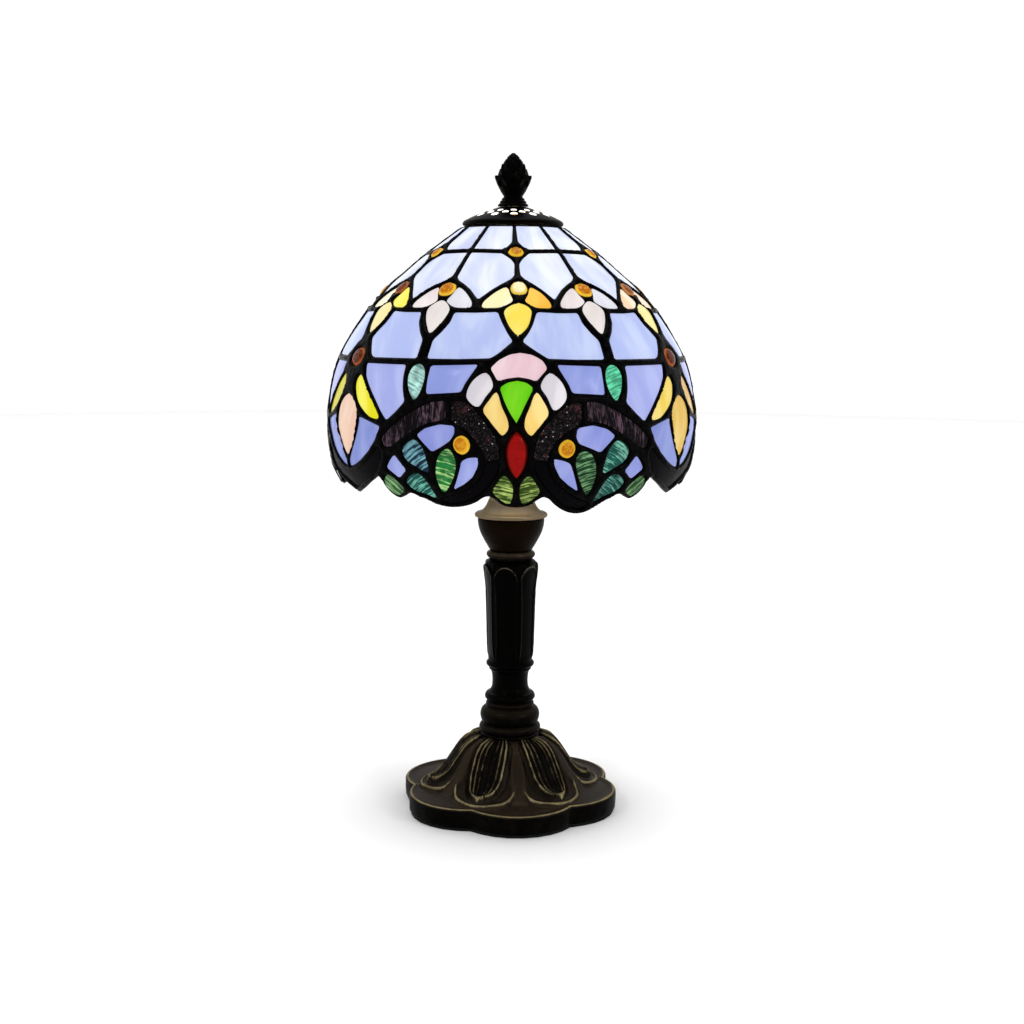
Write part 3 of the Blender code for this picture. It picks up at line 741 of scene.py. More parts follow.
GLASS = {
    "opal": glass_material("glass_opal", opal_colour),
    "leaf": glass_material("glass_leaf", leaf_colour, ripple=0.5),
    "jewel": glass_material("glass_jewel", jewel_colour, roughness=0.08, glow=0.56, ripple=0.2),
    "ripple": glass_material("glass_ripple", ripple_colour, roughness=0.2, ripple=0.7, level=0.03),
    "granite": glass_material("glass_granite", granite_colour, roughness=0.34, ripple=0.8, level=0.015),
}
GLASS_KINDS = tuple(GLASS)


def lead_material():
    n = Nodes("solder_black_patina")
    where = n.add("TexCoord").outputs["Object"]
    blotch = n.noise(where, 260.0, 4.0, 0.6)
    fine = n.noise(where, 1500.0, 3.0, 0.6)
    crest = n.attribute("crest", "Fac")
    wear_and_sheen = n.value("MULTIPLY", n.span(crest, 0.55, 1.0), n.span(blotch, 0.42, 0.72))
    colour = n.mix(wear_and_sheen, linear(1, 1, 1), linear(10, 9, 9))
    n.link(colour, n.shader.inputs["Base Color"])
    n.set(Roughness=0.26)
    n.shader.inputs["Specular IOR Level"].default_value = 0.015
    n.bump(n.value("ADD", n.value("MULTIPLY", blotch, 0.7), n.value("MULTIPLY", fine, 0.3)), 0.5, 0.0004)
    return n.mat


LEAD = lead_material()


# ================================================================ shade: palette
AMBER = ((178, 98, 8), (246, 196, 56))
FLOWERS = {                      # angle: jewel, left petal, right petal, lower petal, each base and accent
    0: (((252, 246, 206), (250, 212, 80)), ((250, 240, 182), (253, 248, 212)),
        ((251, 202, 78), (250, 152, 32)), ((248, 222, 84), (252, 238, 138))),
    30: (AMBER, ((226, 214, 214), (242, 234, 232)), ((214, 214, 226), (236, 236, 242)),
         ((226, 217, 214), (241, 234, 230))),
    60: (((112, 52, 20), (196, 130, 66)), ((246, 206, 168), (253, 236, 216)),
         ((244, 200, 160), (252, 234, 214)),
         ((240, 225, 130), (250, 242, 190))),
    300: (((88, 34, 14), (170, 92, 44)), ((251, 244, 190), (254, 251, 226)),
          ((252, 238, 62), (254, 247, 150)),
          ((250, 233, 158), (252, 241, 192))),
}
PALETTE = {                      # pane: kind of glass, base colour, accent colour
    "crown_a": ("opal", (206, 214, 245), (247, 251, 251)),
    "crown_b": ("opal", (200, 208, 244), (240, 245, 251)),
    "crown_jewel": ("jewel", *AMBER),
    "crown_jewel_b": ("jewel", *AMBER),
    "collar_a": ("opal", (203, 212, 242), (234, 239, 248)),
    "collar_b": ("opal", (203, 212, 242), (234, 239, 248)),
    "field_upper": ("opal", (174, 187, 235), (198, 209, 242)),
    "field_upper_b": ("opal", (174, 187, 235), (198, 209, 242)),
    "field_inner": ("opal", (141, 154, 220), (163, 174, 231)),
    "field_outer": ("opal", (160, 168, 226), (180, 187, 236)),
    "field_side": ("opal", (128, 141, 206), (152, 164, 222)),
    "eye_field": ("opal", (137, 147, 217), (166, 175, 230)),
    "eye_crescent": ("opal", (143, 153, 220), (170, 179, 232)),
    "edge_field": ("opal", (128, 138, 208), (160, 170, 226)),
    "ring_jewel": ("jewel", (64, 14, 6), (168, 86, 36)),
    "arch_pink": ("opal", (228, 192, 202), (242, 218, 224)),
    "arch_white": ("opal", (212, 207, 215), (236, 232, 236)),
    "arch_green": ("opal", (92, 202, 10), (124, 214, 34)),
    "arch_cream": ("opal", (238, 198, 102), (247, 219, 142)),
    "marquise": ("jewel", (150, 3, 2), (66, 8, 2)),
    "foot_leaf": ("leaf", (52, 74, 20), (168, 194, 104)),
    "crescent": ("opal", (222, 206, 60), (244, 234, 130)),
    "long_petal": ("opal", (238, 194, 166), (248, 222, 202)),
    "scroll_granite": ("granite", (11, 8, 10), (220, 212, 214)),
    "scroll_ripple": ("ripple", (10, 7, 10), (88, 68, 80)),
    "eye_jewel": ("jewel", (184, 108, 8), (238, 188, 52)),
    "edge_teal": ("leaf", (18, 66, 62), (104, 176, 156)),
    "edge_leaf": ("leaf", (38, 76, 40), (130, 176, 120)),
    "scroll_foot": ("granite", (3, 2, 4), (42, 38, 44)),
    "side_border": ("granite", (3, 2, 4), (34, 30, 38)),
}
CRESCENTS = {                    # flower angle: left crescent, right crescent
    60: (((232, 202, 84), (246, 226, 140)), ((216, 172, 98), (240, 208, 150))),
    180: (((214, 205, 66), (238, 230, 120)), ((226, 218, 26), (244, 238, 110))),
    300: (((214, 205, 66), (238, 230, 120)), ((228, 220, 22), (246, 240, 104))),
}
LONG_PETALS = {60: ((222, 182, 82), (242, 214, 140)), 180: ((240, 199, 174), (250, 226, 208)),
               300: ((240, 199, 174), (250, 226, 208))}
BY_SIDE = {                      # leaves that differ left and right of a fan: base, accent
    "ring_leaf": (((170, 214, 206), (88, 134, 124)), ((94, 206, 160), (56, 138, 106))),
    "eye_leaf": (((34, 118, 56), (176, 224, 140)), ((22, 58, 30), (112, 158, 110))),
    "eye_teal": (((16, 42, 62), (118, 174, 186)), ((22, 84, 74), (128, 196, 172))),
}
UPPER_PANES = ("collar", "petal", "flower_jewel", "side_jewel", "white_jewel", "drop", "field_upper",
               "crown_jewel")


def pane_look(name, angle):
    """Kind of glass, base and accent of one pane from its name and its middle's angle."""
    flower = int(round(angle / 30.0)) * 30 % 360
    flower_key = flower if flower in FLOWERS else (30 if flower % 60 else (0 if flower % 120 == 0 else 300))
    if flower == 330 or flower % 60 == 30:
        flower_key = 30
    offset = (angle - flower + 180.0) % 360.0 - 180.0
    jewel, left, right, lower = FLOWERS[flower_key]
    if name in ("flower_jewel", "side_jewel", "white_jewel"):
        return ("jewel", *jewel)
    if name.startswith("petal"):
        return ("opal", *(right if offset > 0 else left))
    if name.startswith("drop"):
        return ("opal", *lower)
    wide = int(round((angle - 60.0) / 120.0)) * 120 % 360 + 60
    side = (angle - wide + 180.0) % 360.0 - 180.0
    if name in BY_SIDE:
        return ("leaf", *BY_SIDE[name][0 if angle % 120.0 > 60.0 else 1])
    if name == "crescent":
        return ("opal", *CRESCENTS[wide % 360][1 if side > 0 else 0])
    if name == "long_petal":
        return ("opal", *LONG_PETALS[wide % 360])
    return PALETTE[name]


# ================================================================ shade: glass and solder
def build_shade():
    pattern = Pattern()
    count = len(pattern.flat)
    angle, height = pattern.angle, pattern.z
    depth = depth_from_edges(pattern, angle, height)
    on_left = pattern.flat[:, 0] < 0.02
    on_right = pattern.flat[:, 0] > HALF_SECTOR * FLAT - 0.02
    all_angle = np.zeros(count * SECTORS)
    same = np.arange(count * SECTORS)
    for sector in range(SECTORS):
        base = sector * count
        if sector % 2 == 0:
            all_angle[base:base + count] = HALF_SECTOR * sector + angle
            twin = ((sector - 1) % SECTORS) * count
            same[base:base + count][on_left] = twin + np.arange(count)[on_left]
        else:
            all_angle[base:base + count] = HALF_SECTOR * (sector + 1) - angle
            twin = (sector - 1) * count
            same[base:base + count][on_right] = twin + np.arange(count)[on_right]
    all_height = np.tile(height, SECTORS)
    all_depth = np.tile(depth, SECTORS)

    faces = []
    owners = []
    for sector in range(SECTORS):
        part = pattern.faces if sector % 2 == 0 else pattern.faces[:, ::-1]
        faces.append(same[part + sector * count])
        owners.append(np.stack([pattern.owner, np.full(len(part), sector)], axis=-1))
    faces = np.concatenate(faces)
    owners = np.concatenate(owners)
    flat_face = SHADE.place(all_angle, all_height, 0.0)
    first = faces[owners[:, 0] == -1][0]
    a, b, c = (flat_face[i] for i in first)
    if np.dot(np.cross(b - a, c - a), [(a + b + c)[0], (a + b + c)[1], 0.0]) < 0:
        faces = faces[:, ::-1]
    build_solder(faces[owners[:, 0] == -1], all_angle, all_height, all_depth)
    build_glass(pattern, faces, owners, all_angle, all_height, all_depth)


def build_solder(faces, angle, height, depth):
    bead = 1.0 - (1.0 - np.clip(depth / 1.45, 0.0, 1.0)) ** 2
    wave = np.array([wobble(p * MM, 420.0, 3.1) for p in SHADE.place(angle, height, 0.0)])
    outer = SHADE.place(angle, height, -0.38 + bead * (1.0 + 0.24 * wave))
    inner = SHADE.place(angle, height, -2.75 - bead * 0.62)
    verts, shell, used = closed_shell(faces, outer, inner)
    obj = new_object("solder_lattice", verts, shell, [LEAD], 60.0)
    crest = obj.data.attributes.new("crest", "FLOAT", "POINT")
    crest.data.foreach_set("value", np.concatenate([bead[used], bead[used]]).astype(np.float32))
    finish_piece(obj, "shade", "lead", "shade_lead_frame")


def pane_lift(kind, depth, span, place_noise):
    """Height of the glass above its base face at each point."""
    if kind == "jewel":
        dome = np.sqrt(np.clip(1.0 - (1.0 - np.clip(depth / max(span, 0.5), 0.0, 1.0)) ** 2, 0.0, 1.0))
        return -0.2 + dome * min(1.9, 0.55 * span)
    soft = 1.0 - np.exp(-depth / 1.6)
    return soft * 0.22 + place_noise * 0.12


def build_glass(pattern, faces, owners, angle, height, depth):
    groups = {}
    axis_panes = {}
    for index, name in enumerate(pattern.names):
        points = all_panes()[name][1]
        if points[0][0] in (0.0, HALF_SECTOR) and points[-1][0] == points[0][0]:
            axis_panes[index] = points[0][0]
    for number, (owner, sector) in enumerate(owners):
        if owner < 0:
            continue
        key = sector
        if owner in axis_panes:
            away = axis_panes[owner] > 0.0
            key = (sector + (away == (sector % 2 == 0))) % SECTORS
        groups.setdefault((owner, key), []).append(number)

    panels = {}
    dice = random.Random(11)
    for (owner, key), numbers in sorted(groups.items()):
        name = pattern.names[owner]
        part = faces[numbers]
        used = np.unique(part)
        spread = np.unwrap(np.radians(angle[used]))
        middle = math.degrees(float((spread.max() + spread.min()) / 2)) % 360.0
        level = float(height[used].mean())
        kind, base, accent = pane_look(name, middle)
        panel = panel_of(name, middle)
        panels.setdefault(panel, []).append((name, kind, base, accent, part, middle, level, dice.random()))
    for panel, panes in panels.items():
        build_panel(panel, panes, angle, height, depth)


def panel_of(name, middle):
    if name in ("crown_a", "crown_b"):
        return f"crown_pane_{int(middle // 30.0) + 1:02d}"
    number = int(((middle + 30.0) % 360.0) // 60.0) + 1
    kind = "upper" if name.startswith(UPPER_PANES) else "skirt"
    return f"{kind}_panel_{number}"


def build_panel(panel, panes, angle, height, depth):
    """All the glass of one CAD panel, as one object of separate closed panes."""
    verts, shells, mats = [], [], []
    tints, accents, locals_, rims = [], [], [], []
    for name, kind, base, accent, part, middle, level, chance in panes:
        used = np.unique(part)
        span = float(depth[used].max())
        noise_here = np.zeros(len(angle))
        flat = SHADE.place(angle[used], height[used], 0.0)
        noise_here[used] = [wobble(p * MM, 130.0, 7.7 + chance) for p in flat]
        lift = GLASS_FACE - 0.05 + pane_lift(kind, depth, span, noise_here)
        outer = SHADE.place(angle, height, lift)
        inner = SHADE.place(angle, height, GLASS_FACE - GLASS_THICK)
        points, shell, used = closed_shell(part, outer, inner)
        start = len(verts)
        verts.extend(points)
        shells.extend(tuple(i + start for i in face) for face in shell)
        mats.extend([GLASS_KINDS.index(kind)] * len(shell))
        frame_uv = local_frame(name, angle[used], height[used], middle, level, chance)
        tone = 0.94 + 0.10 * chance
        tint = [min(c * tone, 1.0) for c in linear(*base)]
        bright = [min(c * tone, 1.0) for c in linear(*accent)]
        total = len(used) * 2
        locals_.append(np.concatenate([frame_uv, frame_uv + (0.0, 0.0, 3.0)]))
        tints.append(np.tile((*tint, 1.0), (total, 1)))
        accents.append(np.tile((*bright, 1.0), (total, 1)))
        rims.append(np.concatenate([depth[used], depth[used]]))
    obj = new_object(panel + "_glass", verts, shells, [GLASS[k] for k in GLASS_KINDS], 50.0)
    obj.data.polygons.foreach_set("material_index", mats)
    for key, kind, rows in (("tint", "FLOAT_COLOR", tints), ("accent", "FLOAT_COLOR", accents),
                            ("local", "FLOAT_VECTOR", locals_), ("rim", "FLOAT", rims)):
        layer = obj.data.attributes.new(key, kind, "POINT")
        field = {"FLOAT_COLOR": "color", "FLOAT_VECTOR": "vector", "FLOAT": "value"}[kind]
        layer.data.foreach_set(field, np.concatenate(rows).astype(np.float32).ravel())
    slot = GLASS_SLOTS[panel.split("_")[0]]
    finish_piece(obj, "shade", slot, panel)


LEAF_LEAN = {"foot_leaf": 10.0, "eye_leaf": 4.0, "eye_teal": 52.0, "edge_teal": 58.0, "edge_leaf": -24.0,
             "ring_leaf": 0.0}


def local_frame(name, angle, height, middle, level, chance):
    """Millimetre coordinates in the pane: along its grain, across it, and a number of its own."""
    off = (angle - middle + 180.0) % 360.0 - 180.0
    x = np.radians(off) * SHADE.radius(height)
    y = SHADE.arc(level) - SHADE.arc(height)
    if name in LEAF_LEAN:
        side = 1 if middle % 120.0 < 60.0 else -1
        lean = math.radians(90.0 - side * (LEAF_LEAN[name] - 16.0 - 8.0 * chance))
    elif name == "scroll_ripple":
        lean = 0.0
    else:
        lean = math.radians(62.0 + 56.0 * chance)
    u = x * math.cos(lean) + y * math.sin(lean)
    v = -x * math.sin(lean) + y * math.cos(lean)
    return np.stack([u, v, np.full(len(u), 40.0 * chance)], axis=-1)


def finish_piece(obj, body, slot, *nodes):
    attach(obj, body)
    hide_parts(*nodes)
    return obj


build_shade()


# ================================================================ metals and the rest
def worn_metal_painted_light(name, dark, upper, bright, roughness, metallic=0.55, grain=900.0):
    """Cast metal: dark walls, faces that look up made lighter by a painted top light, and bright edges where
    the finish is rubbed, on the foot with a painted sheen as well.
    """
    n = Nodes(name)
    where = n.add("TexCoord").outputs["Object"]
    wear_and_sheen = n.attribute("wear_and_sheen", "Fac")
    patch = n.noise(where, 190.0, 4.0, 0.62)
    speck = n.noise(where, grain, 3.0, 0.6)
    amount = n.value("ADD", wear_and_sheen, n.value("MULTIPLY", n.value("SUBTRACT", patch, 0.5), 0.7))
    amount = n.value("ADD", amount, n.value("MULTIPLY", n.value("SUBTRACT", speck, 0.5), 0.35))
    # bright where the finish is rubbed, and on the foot also where a painted sheen is added
    mask = n.span(amount, 0.42, 1.0)
    # painted top light: faces that look up take the lighter colour
    base = n.mix(n.attribute("upper", "Fac"), dark, upper)
    base = n.mix(n.span(patch, 0.35, 0.8, 0.0, 0.3), base, tuple(c * 0.3 for c in upper))
    n.link(n.mix(mask, base, bright), n.shader.inputs["Base Color"])
    n.set(Metallic=metallic)
    n.link(n.value("ADD", n.value("MULTIPLY", speck, 0.14), roughness - 0.07), n.shader.inputs["Roughness"])
    n.shader.inputs["Specular Tint"].default_value = (0.25, 0.22, 0.18, 1.0)
    n.shader.inputs["Specular IOR Level"].default_value = 0.07
    n.bump(n.value("ADD", n.value("MULTIPLY", patch, 0.6), n.value("MULTIPLY", speck, 0.4)), 0.3, 0.0003)
    return n.mat


def plain_material(name, low, high, roughness, metallic=0.0, scale=400.0, level=0.3, rough=0.25, glow=0.0,
                   stretch=(1.0, 1.0, 1.0)):
    """Two close tones mixed by noise, with a fine bump."""
    n = Nodes(name)
    where = n.scaled(n.add("TexCoord").outputs["Object"], *stretch)
    cloud = n.noise(where, scale, 4.0, 0.6)
    fine = n.noise(where, scale * 6.0, 2.0, 0.6)
    colour = n.mix(n.span(cloud, 0.3, 0.7), low, high)
    n.link(colour, n.shader.inputs["Base Color"])
    if glow:
        n.link(colour, n.shader.inputs["Emission Color"])
        n.shader.inputs["Emission Strength"].default_value = glow
    n.set(Metallic=metallic)
    n.link(n.value("ADD", n.value("MULTIPLY", fine, 0.12), roughness - 0.06), n.shader.inputs["Roughness"])
    n.shader.inputs["Specular IOR Level"].default_value = level
    n.bump(n.value("ADD", cloud, fine), rough, 0.0002)
    return n.mat


# each cast metal: wall colour, the lighter colour of the painted top light on faces that look up, and the
# colour of rubbed edges
BRONZE = worn_metal_painted_light("bronze_dark", linear(3, 3, 3), linear(54, 46, 36), linear(142, 130, 96), 0.36)
BLACK_BRONZE = worn_metal_painted_light("bronze_black", linear(1, 1, 1), linear(20, 18, 16), linear(96, 90, 78), 0.34)
FINISHES = {
    "bronze": BRONZE,
    "brass": plain_material("brass_aged", linear(176, 150, 104), linear(206, 182, 132), 0.3, 1.0, 300.0),
    "steel": plain_material("steel_zinc", linear(140, 142, 146), linear(176, 178, 182), 0.34, 1.0, 500.0),
    "felt": plain_material("felt_green", linear(12, 16, 13), linear(22, 28, 23), 0.95, 0.0, 900.0, 0.1, 0.8),
    "rubber": plain_material("rubber_black", linear(7, 7, 7), linear(13, 13, 13), 0.6, 0.0, 700.0, 0.1),
    "paper": plain_material("paper_liner", linear(170, 142, 100), linear(196, 168, 124), 0.85, 0.0, 600.0,
                            0.2,
                            0.4, 0.0, (1.0, 1.0, 0.1)),
    "ceramic": plain_material("ceramic_cream", linear(226, 222, 210), linear(240, 237, 228), 0.3, 0.0, 300.0),
    "contact_glass": plain_material("contact_black_glass", linear(14, 14, 18), linear(28, 28, 34), 0.15,
                                    0.0, 400.0),
    "bulb_glass": plain_material("bulb_frosted", linear(255, 240, 214), linear(255, 247, 230), 0.4, 0.0,
                                 200.0, 0.3,
                                 0.15, 6.0),
    "lead": LEAD,
}
# painted light: the cup cover is coloured far lighter than the cup, as if lit by the bulb above it, and its
# top faces take the full painted top light
COVER_BRONZE_PAINTED_BULB_LIGHT = worn_metal_painted_light("cover_bronze_painted_bulb_light", linear(112, 96, 74), linear(196, 178, 142),
                         linear(216, 202, 158), 0.32)
# painted highlight: the dark bronze neck ring takes a light-gold painted top light on the faces that look up
RING_BRONZE_PAINTED_TOP_LIGHT = worn_metal_painted_light("ring_bronze", linear(18, 14, 11), linear(88, 76, 60), linear(176, 158, 118), 0.32)
CUP_BRONZE = worn_metal_painted_light("cup_bronze", linear(12, 6, 2), linear(48, 36, 26), linear(110, 94, 68), 0.34)


def body_of(node):
    for body, members in frame["record"]["behaviour"]["bodies"].items():
        if node in members:
            return body
    raise KeyError(node)


def slot_of(node):
    for entry in frame["record"]["subparts"]:
        if entry["node"] == node:
            return entry["material_slot"]
    raise KeyError(node)


def revolve(outline, relief=None, columns=96):
    """A closed outline turned about the axis; `relief` gives how far a point stands out and its wear."""
    verts, faces, wear_and_sheen = [], [], []
    rows = len(outline)
    for column in range(columns):
        turn = 2 * math.pi * column / columns
        for radius, level in outline:
            lift, wear = relief(turn, radius, level) if relief else (0.0, 0.0)
            reach = (radius + lift) * MM
            verts.append((reach * math.sin(turn), -reach * math.cos(turn), level * MM))
            wear_and_sheen.append(wear)
    for column in range(columns):
        start, after = column * rows, (column + 1) % columns * rows
        for row in range(rows):
            following = (row + 1) % rows
            faces.append((start + row, start + following, after + following, after + row))
    return verts, faces, np.array(wear_and_sheen)


def fine_outline(points, steps):
    """Rounds an outline that runs down the outer side by a curve through its points."""
    return [tuple(p) for p in catmull(points, False, steps)]


def add_finish(obj, wear_and_sheen=None, upper=1.0):
    """Stores where the finish is rubbed bright (on the foot also a painted sheen) and a painted top light
    from how far each face looks up.
    """
    mesh = obj.data
    count = len(mesh.vertices)
    normal = np.empty(count * 3)
    mesh.vertices.foreach_get("normal", normal)
    painted_top_light = np.clip(normal.reshape(-1, 3)[:, 2] * 1.25 - 0.1, 0.0, 1.0) * upper
    rub_and_sheen = np.zeros(count) if wear_and_sheen is None else np.asarray(wear_and_sheen)
    for name, values in (("upper", painted_top_light), ("wear_and_sheen", rub_and_sheen)):
        layer = mesh.attributes.new(name, "FLOAT", "POINT")
        layer.data.foreach_set("value", values.astype(np.float32))


def ridge_wear(outline, columns, amount):
    """Wear on the convex rings of a turned outline, the same all the way round."""
    points = np.array(outline)
    before = points - np.roll(points, 1, axis=0)
    after = np.roll(points, -1, axis=0) - points
    cross = before[:, 0] * after[:, 1] - before[:, 1] * after[:, 0]
    length = np.linalg.norm(before, axis=1) * np.linalg.norm(after, axis=1) + 1e-9
    bend = np.arcsin(np.clip(-cross / length, -1.0, 1.0)) / (np.linalg.norm(before, axis=1) + 0.3)
    return np.tile(np.clip(bend * 1.6, 0.0, 1.0) * amount, columns)


def lathe(node, outer, inner, material=None, relief=None, columns=96, steps=6, smooth=50.0, wear=0.35,
          upper=0.3):
    """A turned piece that stands for a CAD node: rounded outer line, plain inner line."""
    outline = fine_outline(outer, steps) + list(inner)
    verts, faces, wear_and_sheen = revolve(outline, relief, columns)
    slot = slot_of(node)
    obj = new_object(node + "_turned", verts, faces, [material or FINISHES[slot]], smooth)
    add_finish(obj, np.maximum(wear_and_sheen, ridge_wear(outline, columns, wear)), upper)
    return finish_piece(obj, body_of(node), slot, node)


# ================================================================ foot
FOOT_TURN = 8.0
LOBE_CENTRE = 28.5
LOBE_RADIUS = 34.0
LIP_CENTRE = 33.0
LIP_RADIUS = 18.6
FOOT_LOW = 1.8
FOOT_INNER = 15.4              # where the foot meets the urn knob
FOOT_TOP = 40.2
FOOT_COLUMNS = 432
FOOT_ROWS = 92
BORE = 5.3                     # hole for the rod in every casting
DOME = ((15.6, 40.2), (18.4, 40.0), (21.2, 39.0), (24.2, 37.0), (27.0, 34.8), (29.6, 31.8), (33.2, 26.4),
        (37.5, 19.8), (41.0, 15.6), (44.0, 13.2), (48.0, 12.2), (61.5, 11.6))
LEAF_WIDTH = ((17.0, 4.6), (19.0, 6.0), (24.0, 8.4), (30.0, 9.8), (36.0, 9.9), (41.0, 8.0), (45.0, 4.6),
              (47.6, 0.6))
DOME_LINE = catmull(DOME, False, 10)


def fold(angle, pitch):
    return (angle + pitch / 2) % pitch - pitch / 2


def lobe_edge(off, centre, radius):
    """Distance from the axis to a disc's far edge, `off` degrees from its middle (or 0 if it is missed)."""
    across = centre * math.sin(math.radians(off))
    if abs(across) >= radius:
        return 0.0
    return centre * math.cos(math.radians(off)) + math.sqrt(radius ** 2 - across ** 2)


def bell(x, width):
    return math.exp(-(x / width) ** 2)


def step_up(x, low, high):
    t = min(max((x - low) / (high - low), 0.0), 1.0)
    return t * t * (3 - 2 * t)


def foot_height(radius, angle):
    """Top face of the foot casting, its rubbed wear with painted sheen, and its share of the painted top
    light, at a radius and an angle from a strap's middle.
    """
    level = float(np.interp(radius, DOME_LINE[:, 0], DOME_LINE[:, 1]))
    edge = lobe_edge(fold(angle, 60.0), LOBE_CENTRE, LOBE_RADIUS)
    inner = edge - radius
    plate = step_up(radius, 40.0, 46.0)
    level += plate * (0.5 * bell(inner - 1.9, 1.3) - 0.4 * bell(inner - 5.6, 3.0))
    wear_and_sheen = plate * 0.95 * bell(inner - 1.2, 1.0)
    off = fold(angle - 30.0, 60.0)
    x = radius * math.cos(math.radians(off)) - LIP_CENTRE
    y = radius * math.sin(math.radians(off))
    lip = LIP_RADIUS - math.hypot(x, y)
    raised = step_up(lip, -0.3, 0.7) * step_up(radius, 36.0, 44.0)
    level += raised * (1.5 + 0.5 * bell(lip - 1.3, 1.0) - 0.3 * bell(lip - 4.4, 2.2))
    wear_and_sheen = max(wear_and_sheen, 0.95 * bell(lip - 0.9, 0.8) * step_up(radius, 37.0, 42.0))

    # tone is the share of the painted top light: the leaves take less, which paints shade into their hollows
    tone = 1.0
    width = float(np.interp(radius, [r for r, _ in LEAF_WIDTH], [w for _, w in LEAF_WIDTH]))
    across = abs(y) / max(width, 0.3)
    slope = 1.0 + 0.75 * step_up(radius, 20.0, 26.0) * (1.0 - step_up(radius, 40.0, 44.0))
    if radius < 47.6:
        body = 1.0 - step_up(across, 0.92, 1.05)
        start = step_up(radius, 15.6, 18.5)
        rib_width = 0.085 * width + 0.08
        ribs = rub_and_sheen = 0.0
        for place, height, shine in ((0.0, 0.7, 0.5), (0.31, 0.8, 0.72), (0.61, 0.95, 0.9), (0.90, 1.2, 1.1)):
            ribs += height * bell((across - place) * width, rib_width)
            rub_and_sheen += shine * bell((across - place) * width, rib_width)
        curl = 2.4 * step_up(radius, 39.5, 46.4) * (1.0 - step_up(radius, 46.6, 47.6))
        level += start * slope * body * (0.45 + ribs * 0.95) + body * curl
        level -= (start * slope * 1.1 * bell((across - 1.17) * width, 0.7)
                  * (1.0 - step_up(radius, 43.0, 46.0)))
        # rubbed rib edges, with a painted sheen that is stronger high on the leaf and near its curled tip
        lit = start * body * (0.80 + 0.3 * bell(radius - 23.0, 6.0) + 0.25 * bell(radius - 43.0, 4.0))
        wear_and_sheen = max(wear_and_sheen, lit * min(rub_and_sheen, 1.1) * 0.85, 0.8 * body * step_up(radius, 44.0, 46.4))
        tone = 1.0 - 0.8 * body * start
    strap_off = radius * abs(math.sin(math.radians(fold(angle, 60.0))))
    half = float(np.interp(radius, (18.0, 24.0, 40.0, 50.0), (2.9, 3.6, 4.4, 5.2)))
    if radius < 46.0:
        fade = (1.0 - step_up(radius, 42.0, 46.0)) * step_up(radius, 17.0, 20.0)
        strap = 1.0 - step_up(strap_off, half - 0.8, half + 0.3)
        level += slope * fade * 0.75 * strap
        # the straps take more painted top light: a painted sheen
        tone *= 0.55 + 0.6 * strap
    return level, wear_and_sheen, tone


def build_foot():
    verts, faces, wear_and_sheen, top_light_shares = [], [], [], []
    for column in range(FOOT_COLUMNS):
        angle = 360.0 * column / FOOT_COLUMNS
        turn = math.radians(angle)
        off = angle - FOOT_TURN
        edge = lobe_edge(fold(off, 60.0), LOBE_CENTRE, LOBE_RADIUS)
        reach = edge - 1.0
        # each point: radius, height, rubbed wear with painted sheen on the leaves, and share of painted top
        # light
        line = [(FOOT_INNER, FOOT_TOP, 0.0, 0.3)]
        for step in range(1, FOOT_ROWS):
            radius = FOOT_INNER + (reach - FOOT_INNER) * step / (FOOT_ROWS - 1)
            line.append((radius, *foot_height(radius, off)))
        top = line[-1][1]
        side = 0.12 * math.sin(turn * 37.0) + 0.10 * math.sin(turn * 23.0 + 1.0)
        line += [(edge - 0.4, top - 0.25, 0.45, 0.6), (edge - 0.05, top - 0.9, 0.1, 0.0),
                 (edge + side * 0.6, 8.4, 0.0, 0.0), (edge - 0.1 + side, 5.4, 0.0, 0.0),
                 (edge - 0.2, 2.6, 0.0, 0.0), (edge - 0.9, FOOT_LOW, 0.0, 0.0)]
        line += [(radius, level, 0.0, 0.0) for radius, level in (
            (edge - 3.6, FOOT_LOW), (edge - 3.6, 8.2), (41.0, 9.0), (33.0, 17.4), (25.4, 30.0), (16.0, 35.9),
            (BORE, 36.4), (BORE, FOOT_TOP))]
        for radius, level, wear, tone in line:
            verts.append((radius * MM * math.sin(turn), -radius * MM * math.cos(turn), level * MM))
            wear_and_sheen.append(wear)
            top_light_shares.append(tone)
    rows = len(line)
    for column in range(FOOT_COLUMNS):
        start, after = column * rows, (column + 1) % FOOT_COLUMNS * rows
        for row in range(rows):
            following = (row + 1) % rows
            faces.append((start + row, start + following, after + following, after + row))
    obj = new_object("foot_casting", verts, faces, [BRONZE], 60.0)
    add_finish(obj, wear_and_sheen, np.array(top_light_shares))
    finish_piece(obj, "root", "bronze", "base_foot")


# ================================================================ stem
COLUMN_PANELS = 6
PANEL_TURN = -12.0


def column_relief(turn, radius, level):
    """Long leaf panels with raised rims, whose rounded tops stand out at the head of the shaft."""
    if radius < 11.0 or level < 84.0 or level > 141.2:
        return 0.0, 0.0
    pitch = 360.0 / COLUMN_PANELS
    off = fold(math.degrees(turn) - PANEL_TURN, pitch)
    back = fold(math.degrees(turn) - PANEL_TURN - pitch / 2, pitch)
    half = 25.5 - 3.5 * step_up(level, 84.0, 96.0) * (1.0 - step_up(level, 118.0, 134.0))
    top = 139.6 - 5.6 * (abs(off) / half) ** 2.2
    under = top - level
    fade = step_up(level, 84.5, 88.0)
    swell = step_up(level, 124.0, 137.0)
    rim = abs(abs(off) - half) * math.radians(1.0) * radius
    lift = wear = 0.0
    if abs(off) < half + 3.0 and under > -0.4:
        edge = bell(rim, 0.6) * step_up(under, -0.4, 0.6)
        crest = bell(under - 0.6, 0.75) if abs(off) < half else 0.0
        ridge = max(edge, crest)
        lift = 0.5 * ridge + 0.8 * swell * step_up(under, -0.4, 0.5)
        if abs(off) < half:
            lift -= 0.55 * (1.0 - (off / half) ** 2) * step_up(under, 1.0, 3.0)
        wear = ridge * swell * 0.75
    else:
        lift = 0.45 * bell(back * math.radians(1.0) * radius, 0.6) * swell
    return lift * fade, wear


